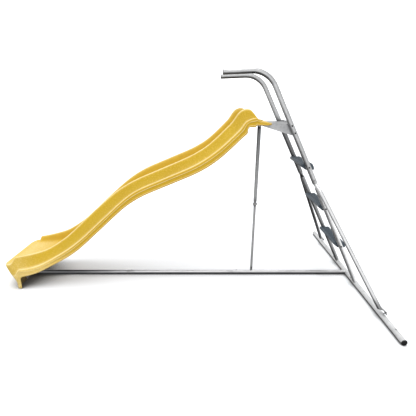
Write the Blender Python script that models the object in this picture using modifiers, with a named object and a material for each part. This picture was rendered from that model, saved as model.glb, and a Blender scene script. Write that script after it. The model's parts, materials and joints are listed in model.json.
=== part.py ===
"""Free-standing wave slide for a garden: moulded plastic chute, galvanised steel tube frame, plastic treads.

Frame: metres, +Z up, origin on the ground under the middle of the footprint.
+X runs from the exit of the chute towards the ladder, and Y = 0 is the plane of symmetry.
"near" is the -Y side, "far" is the +Y side.
"""
import math

import bmesh
import bpy
from mathutils import Matrix, Vector

# ---------------------------------------------------------------- driving dimensions
GAP = 0.0003                      # clearance left between touching pieces

# tube sizes (outer radius, inner radius)
RAIL_R = (0.0210, 0.0193)         # handrail and upper stile
STILE_R = (0.0187, 0.0167)        # lower stile, slides into the upper stile
BRACE_R = (0.0168, 0.0150)        # splayed brace leg
CROSS_R = (0.0210, 0.0188)        # ground crossbar
BASE_R = (0.0190, 0.0171)         # base rail
STRUT_R = (0.0160, 0.0142)                                        # upper tube of the strut
STRUT_LOW_R = (0.0118, 0.0102)                                    # lower tube of the strut
CAP_R = 0.0225                    # crossbar end cap

CROSS_X = 1.6533                  # crossbar axis
CROSS_Z = CAP_R
CROSS_HALF = 0.9455               # half length of the crossbar tube
PEG_SCREW_Y = 0.8400              # screws near the ends of the crossbar
STILE_Y = 0.2022                  # stile axis from the plane of symmetry
STILE_LEAN = 0.5194               # dX/dZ of the stiles, leaning towards the chute
JOINT_Z = 1.0220                  # lower end of the upper stile
HAND_END = (0.3400, 1.8818)       # X, Z of the free end of the handrail
HAND_SLOPE = 0.0377               # rise of the handrail towards the ladder
HAND_BEND = 0.2020                # bend radius of the handrail
BRACE_SPLAY = 0.4508              # dY/dZ of the brace
BRACE_REF = (0.2050, 0.6034)      # Z and Y of a point on the brace axis
BRACE_SHIFT = 0.0030              # how far the braces stand behind the plane of the stiles
SPIGOT_UP = 0.0560                # how far the brace enters the upper stile
STILE_TOP_Z = 0.9800              # coped upper end of the lower stile

DECK_TOP = 1.5050
DECK_T = 0.0030
DECK_FRONT_X = 0.6470
DECK_REAR_X = 0.8960
DECK_HALF = 0.1809                # outer faces of the side gussets
DECK_LOW = (0.9390, 1.4040)       # lowest corner of a gusset, X, Z

STEP_Z0 = 0.4250                  # height of the lowest tread's middle
STEP_PITCH = 0.3660
STEP_OUTLINE = ((-0.0530, 0.0260, 0.009), (0.0390, 0.0260, 0.010), (0.0580, -0.0110, 0.008),
                (0.0560, -0.0280, 0.005), (-0.0130, -0.0280, 0.008), (-0.0560, 0.0060, 0.006))   # X, Z, radius

STRUT_X = 0.6690
STRUT_JOINT_Z = 0.7620
RAIL_JOINT_X = (-0.6080, 0.4800)  # the two joints of the base rail
TOE_PLATE = (-1.5872, 0.0525)     # middle of the plate that the exit is bolted to, X, Z

# chute: a guide line of straight runs and tangent arcs, from the top lip down to the exit
GUIDE_START = (0.7570, 1.5300)
GUIDE = (("line", 0.2042),
         ("arc", 0.1150, 43.6),
         ("line", 0.2004),
         ("arc", 0.9480, 22.65),
         ("line", 0.3605),
         ("arc", 1.1100, 42.2),
         ("line", 0.4357),
         ("arc", 1.1450, 4.52))
CHUTE_T = 0.0045                  # wall thickness of the moulding
FRONT_X = -(CROSS_X + CAP_R)      # foremost point of the exit lip
ROLL_R = 0.0220                   # radius of the rolled exit edge
CORNER_R = 0.0660                 # plan radius of the exit corners
CORNER_R_FOOT = 0.0300
SIDE_Y = 0.2620                   # side face at the exit
LIP_SETBACK = 0.0840              # how far the lip leans back down to the ground
FOOT_X = -1.5398                  # rear edge of the foot at the exit


# ---------------------------------------------------------------- scene and collections
for old in list(bpy.data.objects):
    bpy.data.objects.remove(old, do_unlink=True)

parts = bpy.data.collections.new("wave_slide")
cutters = bpy.data.collections.new("cutters")
bpy.context.scene.collection.children.link(parts)
bpy.context.scene.collection.children.link(cutters)


def material(name, colour, roughness, metallic):
    mat = bpy.data.materials.new(name)
    mat.use_nodes = True
    bsdf = mat.node_tree.nodes["Principled BSDF"]
    bsdf.inputs["Base Color"].default_value = (*colour, 1.0)
    bsdf.inputs["Roughness"].default_value = roughness
    bsdf.inputs["Metallic"].default_value = metallic
    mat.diffuse_color = (*colour, 1.0)
    return mat


LOOKS = {
    "yellow_plastic": ((0.70, 0.44, 0.06), 0.40, 0.0),
    "galvanised_tube": ((0.62, 0.63, 0.64), 0.38, 1.0),
    "galvanised_sheet": ((0.55, 0.56, 0.57), 0.45, 1.0),
    "slate_plastic": ((0.085, 0.105, 0.125), 0.55, 0.0),
    "black_plastic": ((0.012, 0.012, 0.012), 0.45, 0.0),
    "grey_plastic": ((0.42, 0.43, 0.44), 0.50, 0.0),
    "zinc_bolt": ((0.35, 0.35, 0.36), 0.35, 1.0),
    "dark_bolt": ((0.03, 0.03, 0.032), 0.40, 0.6),
}


# ---------------------------------------------------------------- helpers
def place(origin, axis=(0, 0, 1), ref=(1, 0, 0)):
    """Matrix whose Z axis runs along `axis`, with X as near to `ref` as it can be."""
    z = Vector(axis).normalized()
    r = Vector(ref)
    if abs(z.dot(r.normalized())) > 0.99:
        r = Vector((0, 1, 0))
    x = (r - z * r.dot(z)).normalized()
    y = z.cross(x)
    m = Matrix((x, y, z)).transposed().to_4x4()
    m.translation = Vector(origin)
    return m


def new_object(name, mesh, look=None, matrix=None, collection=None):
    obj = bpy.data.objects.new(name, mesh)
    (collection or parts).objects.link(obj)
    if matrix is not None:
        obj.matrix_world = matrix
    if look:
        mat = bpy.data.materials.get(name + "_" + look) or material(name + "_" + look, *LOOKS[look])
        if not mesh.materials:
            mesh.materials.append(mat)
        else:
            mesh.materials[0] = mat
    return obj


def smooth(obj, angle=40.0):
    obj.data.shade_smooth()
    obj.data.set_sharp_from_angle(angle=math.radians(angle))
    return obj


def baked(obj):
    """The object's evaluated mesh as a new mesh, in the object's own space."""
    bpy.context.view_layer.update()
    deps = bpy.context.evaluated_depsgraph_get()
    return bpy.data.meshes.new_from_object(obj.evaluated_get(deps))


def turned_mesh(name, profile, steps=24, closed=False):
    """Mesh of a turned shape about Z. The profile (radius, height) runs down its outer side."""
    mesh = bpy.data.meshes.new(name)
    n = len(profile)
    edges = [(i, i + 1) for i in range(n - 1)] + ([(n - 1, 0)] if closed else [])
    mesh.from_pydata([(r, 0.0, z) for r, z in profile], edges, [])
    tmp = bpy.data.objects.new(name + "_turn", mesh)
    bpy.context.scene.collection.objects.link(tmp)
    mod = tmp.modifiers.new("turn", "SCREW")
    mod.angle = math.tau
    mod.steps = mod.render_steps = steps
    mod.screw_offset = 0.0
    mod.use_merge_vertices = True
    mod.merge_threshold = 0.00005
    out = baked(tmp)
    bpy.data.objects.remove(tmp)
    bm = bmesh.new()
    bm.from_mesh(out)
    bmesh.ops.remove_doubles(bm, verts=bm.verts, dist=0.00002)
    bmesh.ops.recalc_face_normals(bm, faces=bm.faces)
    bm.to_mesh(out)
    bm.free()
    return out


def cylinder_mesh(name, radius, length, segments=16):
    """Closed cylinder standing on Z = 0."""
    mesh = bpy.data.meshes.new(name)
    bm = bmesh.new()
    bmesh.ops.create_cone(bm, cap_ends=True, cap_tris=False, segments=segments, radius1=radius,
                          radius2=radius, depth=length,
                          matrix=Matrix.Translation((0, 0, length / 2)))
    bm.to_mesh(mesh)
    bm.free()
    return mesh


def box_mesh(name, size, centre=(0, 0, 0)):
    mesh = bpy.data.meshes.new(name)
    bm = bmesh.new()
    bmesh.ops.create_cube(bm, size=1.0, matrix=Matrix.Translation(centre) @ Matrix.Diagonal((*size, 1.0)))
    bm.to_mesh(mesh)
    bm.free()
    return mesh


def cutter(name, mesh, matrix=None):
    obj = new_object(name, mesh, None, matrix, cutters)
    obj.hide_render = True
    obj.display_type = "WIRE"
    return obj


def bore(name, start, end, radius, segments=16):
    """Cutter for a straight round hole between two points."""
    a, b = Vector(start), Vector(end)
    return cutter(name, cylinder_mesh(name, radius, (b - a).length, segments), place(a, b - a))


def boolean(obj, tool, operation="DIFFERENCE"):
    mod = obj.modifiers.new(operation.lower(), "BOOLEAN")
    mod.operation = operation
    mod.solver = "EXACT"
    mod.object = tool
    return mod


def settle(obj, angle=40.0):
    """Apply the object's modifiers, so that it holds its final mesh."""
    mesh = baked(obj)
    mats = list(obj.data.materials)
    obj.modifiers.clear()
    obj.data = mesh
    obj.data.materials.clear()
    for m in mats:
        obj.data.materials.append(m)
    smooth(obj, angle)
    return obj


def tube_profile(outer, inner, length, swage=None):
    """Profile of a straight tube on Z. `swage` = (length, radius) narrows its top end."""
    if swage is None:
        return [(outer, length), (outer, 0.0), (inner, 0.0), (inner, length)]
    s_len, s_r = swage
    wall = outer - inner
    return [(s_r, length), (s_r, length - s_len), (outer, length - s_len - 0.006), (outer, 0.0),
            (inner, 0.0), (inner, length - s_len - 0.006), (s_r - wall, length - s_len), (s_r - wall, length)]


# ---------------------------------------------------------------- fasteners
def bolt_mesh(name, af, head_h, shank_r, length, nut_at=None):
    """Hexagon bolt: head above Z = 0, shank down to -length, with its nut below -nut_at."""
    def hexagon(z0, height, crowned):
        body = cutter(name + "_hex", cylinder_mesh(name, af / math.sqrt(3), height, 6), Matrix.Translation((0, 0, z0)))
        if crowned:
            crown = cutter(name + "_crown", turned_mesh(name, [(0.0, height), (af * 0.47, height),
                                                               (af * 0.66, height * 0.62), (af * 0.66, -0.001),
                                                               (0.0, -0.001)], 18), Matrix.Translation((0, 0, z0)))
            boolean(body, crown, "INTERSECT")
            settle(body)
            bpy.data.objects.remove(crown)
        return body

    head = hexagon(0.0, head_h, True)
    shank = cutter(name + "_shank", turned_mesh(name, [(0.0, head_h * 0.4), (shank_r, head_h * 0.4),
                                                       (shank_r, -length + shank_r * 0.35),
                                                       (shank_r * 0.7, -length), (0.0, -length)], 12))
    boolean(head, shank, "UNION")
    used = [head, shank]
    if nut_at is not None:
        nut = hexagon(-nut_at - 0.0055, 0.0055, False)
        boolean(head, nut, "UNION")
        used.append(nut)
    mesh = baked(head)
    for o in used:
        bpy.data.objects.remove(o)
    return mesh


def dome_screw_mesh(name, head_r, head_h, shank_r, length, steps=16):
    """Round-headed screw: head above Z = 0, shank running down to -length."""
    prof = [(0.0, head_h)]
    for i in range(1, 5):
        a = math.radians(90.0 * i / 4)
        prof.append((head_r * math.sin(a), head_h * math.cos(a)))
    prof += [(shank_r, 0.0), (shank_r, -length + shank_r * 0.4), (shank_r * 0.6, -length), (0.0, -length)]
    return turned_mesh(name, prof, steps)


# ---------------------------------------------------------------- stile line
def stile_x(z):
    return CROSS_X - STILE_LEAN * (z - CROSS_Z)


STILE_DIR = Vector((-STILE_LEAN, 0.0, 1.0)).normalized()          # up along the stile
STILE_NORMAL = Vector((STILE_DIR.z, 0.0, -STILE_DIR.x))           # out of the ladder's back, up and rearwards


def stile_point(z, y):
    return Vector((stile_x(z), y, z))


# ---------------------------------------------------------------- handrail and upper stile
def handrail_path():
    """Centre line in the XZ plane from the free end, round the bend, down to the joint."""
    x0, z0 = HAND_END
    # corner where the level run would meet the stile
    zc = (z0 + HAND_SLOPE * (CROSS_X + STILE_LEAN * CROSS_Z - x0)) / (1.0 + HAND_SLOPE * STILE_LEAN)
    corner = Vector((stile_x(zc), 0.0, zc))
    u = (corner - Vector((x0, 0.0, z0))).normalized()
    d = -STILE_DIR
    turn = math.acos(max(-1.0, min(1.0, u.dot(d))))
    t = HAND_BEND * math.tan(turn / 2)
    start = corner - u * t
    inward = Vector((u.z, 0.0, -u.x))
    centre = start + inward * HAND_BEND
    points = [Vector((x0, 0.0, z0))]
    steps = 12
    for i in range(steps + 1):
        a = turn * i / steps
        points.append(centre - inward * HAND_BEND * math.cos(a) + u * HAND_BEND * math.sin(a))
    points.append(Vector((stile_x(JOINT_Z), 0.0, JOINT_Z)))
    return points


def bent_tube(name, points, radii, look, resolution=6):
    """Hollow bent tube along the points: open curve surface, thickened inwards."""
    curve = bpy.data.curves.new(name, "CURVE")
    curve.dimensions = "3D"
    curve.bevel_depth = radii[0]
    curve.bevel_resolution = resolution
    curve.use_fill_caps = False
    spline = curve.splines.new("POLY")
    spline.points.add(len(points) - 1)
    for p, co in zip(spline.points, points):
        p.co = (*co, 1.0)
    tmp = bpy.data.objects.new(name + "_curve", curve)
    bpy.context.scene.collection.objects.link(tmp)
    mesh = baked(tmp)
    bpy.data.objects.remove(tmp)
    bm = bmesh.new()
    bm.from_mesh(mesh)
    bmesh.ops.remove_doubles(bm, verts=bm.verts, dist=0.00002)
    bmesh.ops.recalc_face_normals(bm, faces=bm.faces)
    # the open surface must face outwards before it is thickened inwards
    face = bm.faces[0]
    near = min(points, key=lambda p: (Vector(p) - face.calc_center_median()).length)
    seg = min(range(len(points) - 1),
              key=lambda i: abs((face.calc_center_median() - (Vector(points[i]) + Vector(points[i + 1])) / 2).length))
    a, b = Vector(points[seg]), Vector(points[seg + 1])
    axis = (b - a).normalized()
    rel = face.calc_center_median() - a
    out = rel - axis * rel.dot(axis)
    if face.normal.dot(out) < 0:
        bmesh.ops.reverse_faces(bm, faces=bm.faces)
    bm.to_mesh(mesh)
    bm.free()
    obj = new_object(name, mesh, look)
    mod = obj.modifiers.new("wall", "SOLIDIFY")
    mod.thickness = radii[0] - radii[1]
    mod.offset = -1.0
    mod.use_even_offset = True
    return obj


for side, s in (("near", -1), ("far", 1)):
    pts = [p + Vector((0, s * STILE_Y, 0)) for p in handrail_path()]
    rail = bent_tube("handrail_" + side, pts, RAIL_R, "galvanised_tube")
    # dished plug in the free end
    u = (pts[1] - pts[0]).normalized()
    r = RAIL_R[1] - 0.0006
    plug = turned_mesh("plug", [(0.0, -0.0022), (0.0150, -0.0022), (0.0168, 0.0), (0.0190, 0.0016), (0.0204, 0.0012),
                                (0.0208, -0.0002), (0.0208, -0.0020), (r, -0.0020), (r, -0.0240), (r - 0.0020, -0.0260),
                                (0.0, -0.0260)], 20)
    end = new_object("handrail_plug_" + side, plug, "grey_plastic", place(pts[0] - u * (0.0020 + GAP), -u))
    smooth(end)

# ---------------------------------------------------------------- lower stiles
SPIGOT_R = (STILE_R[1] - GAP, STILE_R[1] - GAP - 0.0018)          # stub on the crossbar
STUB_TOP = 0.118                                                  # stub length from the crossbar's axis
STILE_FOOT = 0.0320                                               # lower end of the stile from that axis
FOOT_BOLT = 0.0800
joint_len = (stile_point(JOINT_Z, 0) - Vector((CROSS_X, 0, CROSS_Z))).length

for side, s in (("near", -1), ("far", 1)):
    base = Vector((CROSS_X, s * STILE_Y, CROSS_Z))
    length = (stile_point(STILE_TOP_Z, 0) - Vector((CROSS_X, 0, CROSS_Z))).length - STILE_FOOT
    obj = new_object("lower_stile_" + side,
                     turned_mesh("lower_stile", tube_profile(*STILE_R, length), 24, True),
                     "galvanised_tube", place(base + STILE_DIR * STILE_FOOT, STILE_DIR))
    smooth(obj)

# ---------------------------------------------------------------- brace legs
def brace_point(z, s):
    return Vector((stile_x(z) + BRACE_SHIFT, s * (BRACE_REF[1] + BRACE_SPLAY * (BRACE_REF[0] - z)), z))


def brace_path(s):
    """Centre line of a brace: spigot in the upper stile, bend outwards, straight run to the foot."""
    pts = [stile_point(JOINT_Z + SPIGOT_UP, s * STILE_Y), stile_point(JOINT_Z + 0.004, s * STILE_Y),
           stile_point(JOINT_Z - 0.010, s * STILE_Y)]
    for k in (1, 2, 3):
        z = JOINT_Z - 0.010 - 0.024 * k
        w = (0.42, 0.86, 1.0)[k - 1]
        pts.append(stile_point(z, s * STILE_Y).lerp(brace_point(z, s), w))
    return pts


def brace_mesh(s):
    """Rings of a bent tube whose lower end is pressed flat on the crossbar.

    Each ring is an oval, so the section changes from a circle to a flat tab along the
    last stretch of the tube.
    """
    pts = brace_path(s)
    foot = brace_point(0.0640, s)
    total = (foot - pts[-1]).length
    up = (pts[-1] - foot).normalized()
    flat_len = 0.038
    centres = [(p, 0.0) for p in pts]
    for d in [total * f for f in (0.12, 0.40, 0.70)] + [total - flat_len * (1 - i / 6) for i in range(7)]:
        t = max(0.0, (d - (total - flat_len)) / flat_len)
        centres.append((pts[-1] - up * d, t * t * (3 - 2 * t)))
    rings = []
    for i, (c, k) in enumerate(centres):
        p = centres[max(0, i - 1)][0]
        q = centres[min(len(centres) - 1, i + 1)][0]
        along = (p - q).normalized()
        side_dir = STILE_NORMAL.cross(along).normalized()
        r = RAIL_R[1] - 0.0006 if i < 2 else BRACE_R[0]
        half_n = r * (1 - k) + 0.0032 * k                         # half thickness across the stile plane
        half_s = r * (1 - k) + 0.0235 * k                         # half width in the stile plane
        rings.append((c + STILE_NORMAL * (k * (CROSS_R[0] + 0.0045)), along, side_dir, half_s, half_n))
    c = rings[-1][0]
    rings.append((c - up * 0.018, up, rings[-1][2], 0.0235, 0.0032))
    rings.append((c - up * 0.033, up, rings[-1][2], 0.0150, 0.0032))
    return rings, 20


def loft_tube(name, rings, n, wall):
    """Closed loft through oval rings, bored by `wall` from the first end to where it is pressed shut."""
    mesh = bpy.data.meshes.new(name)
    bm = bmesh.new()

    def ring(r, less):
        centre, along, sd, hs, hn = r
        nd = along.cross(sd).normalized()
        return [bm.verts.new(centre + sd * ((hs - less) * math.cos(math.tau * i / n))
                             + nd * ((hn - less) * math.sin(math.tau * i / n))) for i in range(n)]

    def skin(loops):
        for p, q in zip(loops, loops[1:]):
            for i in range(n):
                j = (i + 1) % n
                bm.faces.new((p[i], p[j], q[j], q[i]))

    outer = [ring(r, 0.0) for r in rings]
    skin(outer)
    bm.faces.new(outer[-1])
    if wall is None:
        bm.faces.new(outer[0])
    else:
        inner = [ring(r, wall) for r in rings if r[4] > 0.0090]
        skin(inner)
        bm.faces.new(inner[-1])
        skin([outer[0], inner[0]])
    bmesh.ops.recalc_face_normals(bm, faces=bm.faces)
    bm.to_mesh(mesh)
    bm.free()
    return mesh


for side, s in (("near", -1), ("far", 1)):
    rings, n = brace_mesh(s)
    obj = new_object("brace_leg_" + side, loft_tube("brace_leg", rings, n, BRACE_R[0] - BRACE_R[1]),
                     "galvanised_tube")
    smooth(obj, 35)
    # the lower stile is coped round the brace that it is welded to
    cope = cutter("cope_" + side, loft_tube("cope", [(c, u, d, BRACE_R[0] + 0.0005, BRACE_R[0] + 0.0005)
                                                     for c, u, d, hs, hn in rings[1:9]], n, None))
    boolean(bpy.data.objects["lower_stile_" + side], cope)

# ---------------------------------------------------------------- ground crossbar with its stubs
body = new_object("ground_crossbar",
                  cylinder_mesh("ground_crossbar", CROSS_R[0], 2 * CROSS_HALF, 24),
                  "galvanised_tube", place((CROSS_X, -CROSS_HALF, CROSS_Z), (0, 1, 0)))
for side, s in (("near", -1), ("far", 1)):
    c = Vector((CROSS_X, s * STILE_Y, CROSS_Z))
    boolean(body, bore("stub_" + side, c, c + STILE_DIR * STUB_TOP, SPIGOT_R[0], 20), "UNION")
BASE_STUB_R = BASE_R[1] - GAP
boolean(body, bore("stub_rail", (CROSS_X, 0, CROSS_Z), (CROSS_X - 0.085, 0, CROSS_Z), BASE_STUB_R, 20), "UNION")
boolean(body, bore("crossbar_bore", (CROSS_X, -CROSS_HALF - 0.01, CROSS_Z), (CROSS_X, CROSS_HALF + 0.01, CROSS_Z),
                   CROSS_R[1], 24))
for side, s in (("near", -1), ("far", 1)):
    c = Vector((CROSS_X, s * STILE_Y, CROSS_Z))
    boolean(body, bore("stub_bore_" + side, c + STILE_DIR * 0.012, c + STILE_DIR * (STUB_TOP + 0.01), SPIGOT_R[1], 16))

CAP_PROFILE = [(0.0, 0.0110), (0.0110, 0.0105), (0.0185, 0.0080), (0.0218, 0.0045), (CAP_R, 0.0010), (CAP_R, -0.0),
               (CROSS_R[1] - GAP, 0.0), (CROSS_R[1] - GAP, -0.030), (CROSS_R[1] - 0.003, -0.033), (0.0, -0.033)]
for side, s in (("near", -1), ("far", 1)):
    obj = new_object("crossbar_cap_" + side, turned_mesh("crossbar_cap", CAP_PROFILE, 28), "black_plastic",
                     place((CROSS_X, s * (CROSS_HALF + GAP), CROSS_Z), (0, s, 0)))
    smooth(obj, 50)

# ---------------------------------------------------------------- base rail
SLEEVE = 0.060                                                    # overlap of a rail joint
TOE_X = TOE_PLATE[0] + 0.0055


def rail_section(name, x_front, x_rear, swaged):
    """Rail tube from x_front to x_rear; a swaged section enters the tube behind it."""
    length = x_rear - x_front + (SLEEVE if swaged else 0.0)
    prof = tube_profile(*BASE_R, length, (SLEEVE, BASE_R[1] - GAP) if swaged else None)
    obj = new_object(name, turned_mesh(name, prof, 24, True), "galvanised_tube",
                     place((x_front, 0, CROSS_Z), (1, 0, 0), (0, 1, 0)))
    return obj


front = rail_section("base_rail_front", TOE_X, RAIL_JOINT_X[0] - 0.007, True)
middle = rail_section("base_rail_middle", RAIL_JOINT_X[0], RAIL_JOINT_X[1] - 0.007, True)
rear = rail_section("base_rail_rear", RAIL_JOINT_X[1], CROSS_X - CROSS_R[0] - 0.0015, False)

# end plate that the exit of the chute is bolted to, leaning like the lip
PLATE_LEAN = math.radians(17.85)
PLATE_DIR = Vector((-math.sin(PLATE_LEAN), 0, math.cos(PLATE_LEAN)))     # up the plate
PLATE_N = Vector((math.cos(PLATE_LEAN), 0, math.sin(PLATE_LEAN)))        # rearwards
PLATE_M = Matrix((PLATE_N, Vector((0, 1, 0)), PLATE_DIR)).transposed().to_4x4()
PLATE_M.translation = Vector((TOE_PLATE[0], 0, TOE_PLATE[1]))
boolean(front, cutter("toe_trim", box_mesh("toe_trim", (0.0600, 0.0600, 0.1200), (-0.0310, 0, 0)), PLATE_M))
boolean(front, cutter("toe_plate", box_mesh("toe_plate", (0.0040, 0.2300, 0.0740)), PLATE_M), "UNION")

# stub that the strut stands on
STRUT_STUB_R = STRUT_LOW_R[1] - GAP
boolean(rear, bore("strut_stub", (STRUT_X, 0, CROSS_Z + BASE_R[1] - 0.0005), (STRUT_X, 0, 0.1050), STRUT_STUB_R, 18), "UNION")

# ---------------------------------------------------------------- strut
strut_foot = CROSS_Z + BASE_R[0] + 0.0006
low = new_object("strut_lower",
                 turned_mesh("strut_lower", tube_profile(*STRUT_LOW_R, STRUT_JOINT_Z + 0.043 - strut_foot), 20, True),
                 "galvanised_tube", place((STRUT_X, 0, strut_foot)))
DECK_UNDER = DECK_TOP - DECK_T
# the upper tube's lower end is necked down onto the lower tube
NECK_R = STRUT_LOW_R[0] + GAP + STRUT_R[0] - STRUT_R[1]
up = new_object("strut_upper",
                turned_mesh("strut_upper", tube_profile(*STRUT_R, DECK_UNDER - GAP - (STRUT_JOINT_Z - 0.021),
                                                        (0.050, NECK_R)), 20, True),
                "galvanised_tube", place((STRUT_X, 0, DECK_UNDER - GAP), (0, 0, -1)))

# ---------------------------------------------------------------- platform deck: folded sheet
def deck_mesh():
    """Open surface of the folded plate: top, front and rear flanges, side gussets."""
    mesh = bpy.data.meshes.new("platform_deck")
    bm = bmesh.new()
    y = DECK_HALF - DECK_T / 2
    z = DECK_TOP - DECK_T / 2
    x0, x1 = DECK_FRONT_X + DECK_T / 2, DECK_REAR_X
    inset = 0.012
    v = {}

    def vert(key, co):
        v[key] = bm.verts.new(co)
        return v[key]

    for s in (-1, 1):
        vert(("f", s), (x0, s * y, z))
        vert(("fi", s), (x0, s * (y - inset), z))
        vert(("r", s), (x1, s * y, z))
        vert(("ri", s), (x1, s * (y - inset), z))
        vert(("low", s), (DECK_LOW[0], s * y, DECK_LOW[1]))
        vert(("tip", s), (x0, s * y, z - 0.012))
        vert(("ff", s), (x0, s * (y - inset), z - 0.024))
        vert(("rr", s), (x1 + 0.002, s * (y - inset), z + 0.016))
    bm.faces.new((v["fi", -1], v["ri", -1], v["ri", 1], v["fi", 1]))
    for s in (-1, 1):
        f = [v["f", s], v["r", s], v["ri", s], v["fi", s]]
        g = [v["f", s], v["tip", s], v["low", s], v["r", s]]
        if s > 0:
            f.reverse()
            g.reverse()
        bm.faces.new(f)
        bm.faces.new(g)
    bm.faces.new((v["fi", -1], v["fi", 1], v["ff", 1], v["ff", -1]))
    bm.faces.new((v["ri", 1], v["ri", -1], v["rr", -1], v["rr", 1]))
    bmesh.ops.recalc_face_normals(bm, faces=bm.faces)
    bm.to_mesh(mesh)
    bm.free()
    return mesh


deck = new_object("platform_deck", deck_mesh(), "galvanised_sheet")
mod = deck.modifiers.new("sheet", "SOLIDIFY")
mod.thickness = DECK_T
mod.offset = 0.0
mod.use_even_offset = True
mod.use_quality_normals = True

# ---------------------------------------------------------------- treads
def tread_outline():
    """Side outline of a tread: a moulding that leans with the ladder, its corners rounded."""
    pts = []
    n = len(STEP_OUTLINE)
    for i, (x, z, r) in enumerate(STEP_OUTLINE):
        p = Vector((x, z))
        a = (Vector(STEP_OUTLINE[i - 1][:2]) - p).normalized()
        b = (Vector(STEP_OUTLINE[(i + 1) % n][:2]) - p).normalized()
        half = a.angle(b) / 2
        c = p + (a + b).normalized() * (r / math.sin(half))
        t0 = p + a * (r / math.tan(half)) - c
        t1 = p + b * (r / math.tan(half)) - c
        for k in range(4):
            d = t0.lerp(t1, k / 3).normalized() * r
            pts.append(tuple(c + d))
    return pts


def tread_mesh(half):
    curve = bpy.data.curves.new("tread", "CURVE")
    curve.dimensions = "2D"
    curve.fill_mode = "BOTH"
    curve.extrude = half
    pts = tread_outline()
    sp = curve.splines.new("POLY")
    sp.points.add(len(pts) - 1)
    for p, (x, z) in zip(sp.points, pts):
        p.co = (x, z, 0.0, 1.0)
    sp.use_cyclic_u = True
    tmp = bpy.data.objects.new("tread_curve", curve)
    bpy.context.scene.collection.objects.link(tmp)
    mesh = baked(tmp)
    bpy.data.objects.remove(tmp)
    bm = bmesh.new()
    bm.from_mesh(mesh)
    bmesh.ops.remove_doubles(bm, verts=bm.verts, dist=0.00002)
    bmesh.ops.recalc_face_normals(bm, faces=bm.faces)
    bm.to_mesh(mesh)
    bm.free()
    return mesh


BOLT_R = 0.0040
for i, nm in enumerate(("lower", "middle", "upper")):
    z = STEP_Z0 + STEP_PITCH * i
    r_out = RAIL_R[0] if z > JOINT_Z else STILE_R[0]
    half = STILE_Y - r_out - GAP
    m = Matrix(((1, 0, 0), (0, 0, 1), (0, 1, 0))).transposed().to_4x4()
    m = Matrix((Vector((1, 0, 0)), Vector((0, 0, 1)), Vector((0, -1, 0)))).transposed().to_4x4()
    m.translation = Vector((stile_x(z), 0, z))
    step = new_object("step_" + nm, tread_mesh(half), "slate_plastic", m)
    # the moulding is hollow from below, with webs between its pockets
    w = (2 * half - 0.040 - 3 * 0.005) / 4
    for j in range(4):
        yc = -half + 0.020 + w / 2 + j * (w + 0.005)
        boolean(step, cutter("pocket_%s_%d" % (nm, j), box_mesh("pocket", (0.0600, w, 0.0480)),
                             Matrix.Translation((stile_x(z) + 0.0170, yc, z - 0.0110))))
    for s in (-1, 1):
        boolean(step, bore("tread_hole_%s_%d" % (nm, s), (stile_x(z), s * (half - 0.0165), z),
                           (stile_x(z), s * (half + 0.01), z), BOLT_R + GAP, 12))
    settle(step, 35)

# ---------------------------------------------------------------- chute
def smoothstep(t):
    t = max(0.0, min(1.0, t))
    return t * t * (3.0 - 2.0 * t)


def ramp(v, v0, v1, a, b):
    """a before v0, b after v1, smooth between them."""
    return a + (b - a) * smoothstep((v - v0) / (v1 - v0))


def guide_segments():
    segs = []
    x, z, a = GUIDE_START[0], GUIDE_START[1], 0.0
    for g in GUIDE:
        if g[0] == "line":
            segs.append(("line", g[1], x, z, a))
            x -= math.cos(a) * g[1]
            z -= math.sin(a) * g[1]
        else:
            r, a1 = g[1], math.radians(g[2])
            sg = 1 if a1 > a else -1
            cx, cz = x + sg * r * math.sin(a), z - sg * r * math.cos(a)
            segs.append(("arc", r * abs(a1 - a), r, sg, cx, cz, a, a1))
            x, z, a = cx - sg * r * math.sin(a1), cz + sg * r * math.cos(a1), a1
    return segs


GSEGS = guide_segments()
GUIDE_LEN = sum(g[1] for g in GSEGS)


def guide(s):
    """Point (x, z) and angle below the horizontal at the distance s from the top lip."""
    for g in GSEGS:
        if s <= g[1] or g is GSEGS[-1]:
            if g[0] == "line":
                _, _, x, z, a = g
                return x - math.cos(a) * s, z - math.sin(a) * s, a
            _, length, r, sg, cx, cz, a0, a1 = g
            t = a0 + (a1 - a0) * s / length
            return cx - sg * r * math.sin(t), cz + sg * r * math.cos(t), t
        s -= g[1]


ROW_Y = (0.0, 0.062, 0.118, 0.158, 0.182, 0.2000, 0.2105, 0.2235, 0.2335, 0.2415, 0.2490, 0.2510, 0.2540, 0.2550,
         0.2625, 0.2640, 0.2670)
K = len(ROW_Y)
LIP_START = 0.026                                                 # free end of the top lip along the guide
CORNER_RISE = 0.012                                               # the side rims run out round the corners at this height
X_EXIT = FRONT_X + CORNER_R                                       # where the exit corners begin
ROW_DROP = -1.5187                                                # where the skirt starts to turn down to the foot


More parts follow.
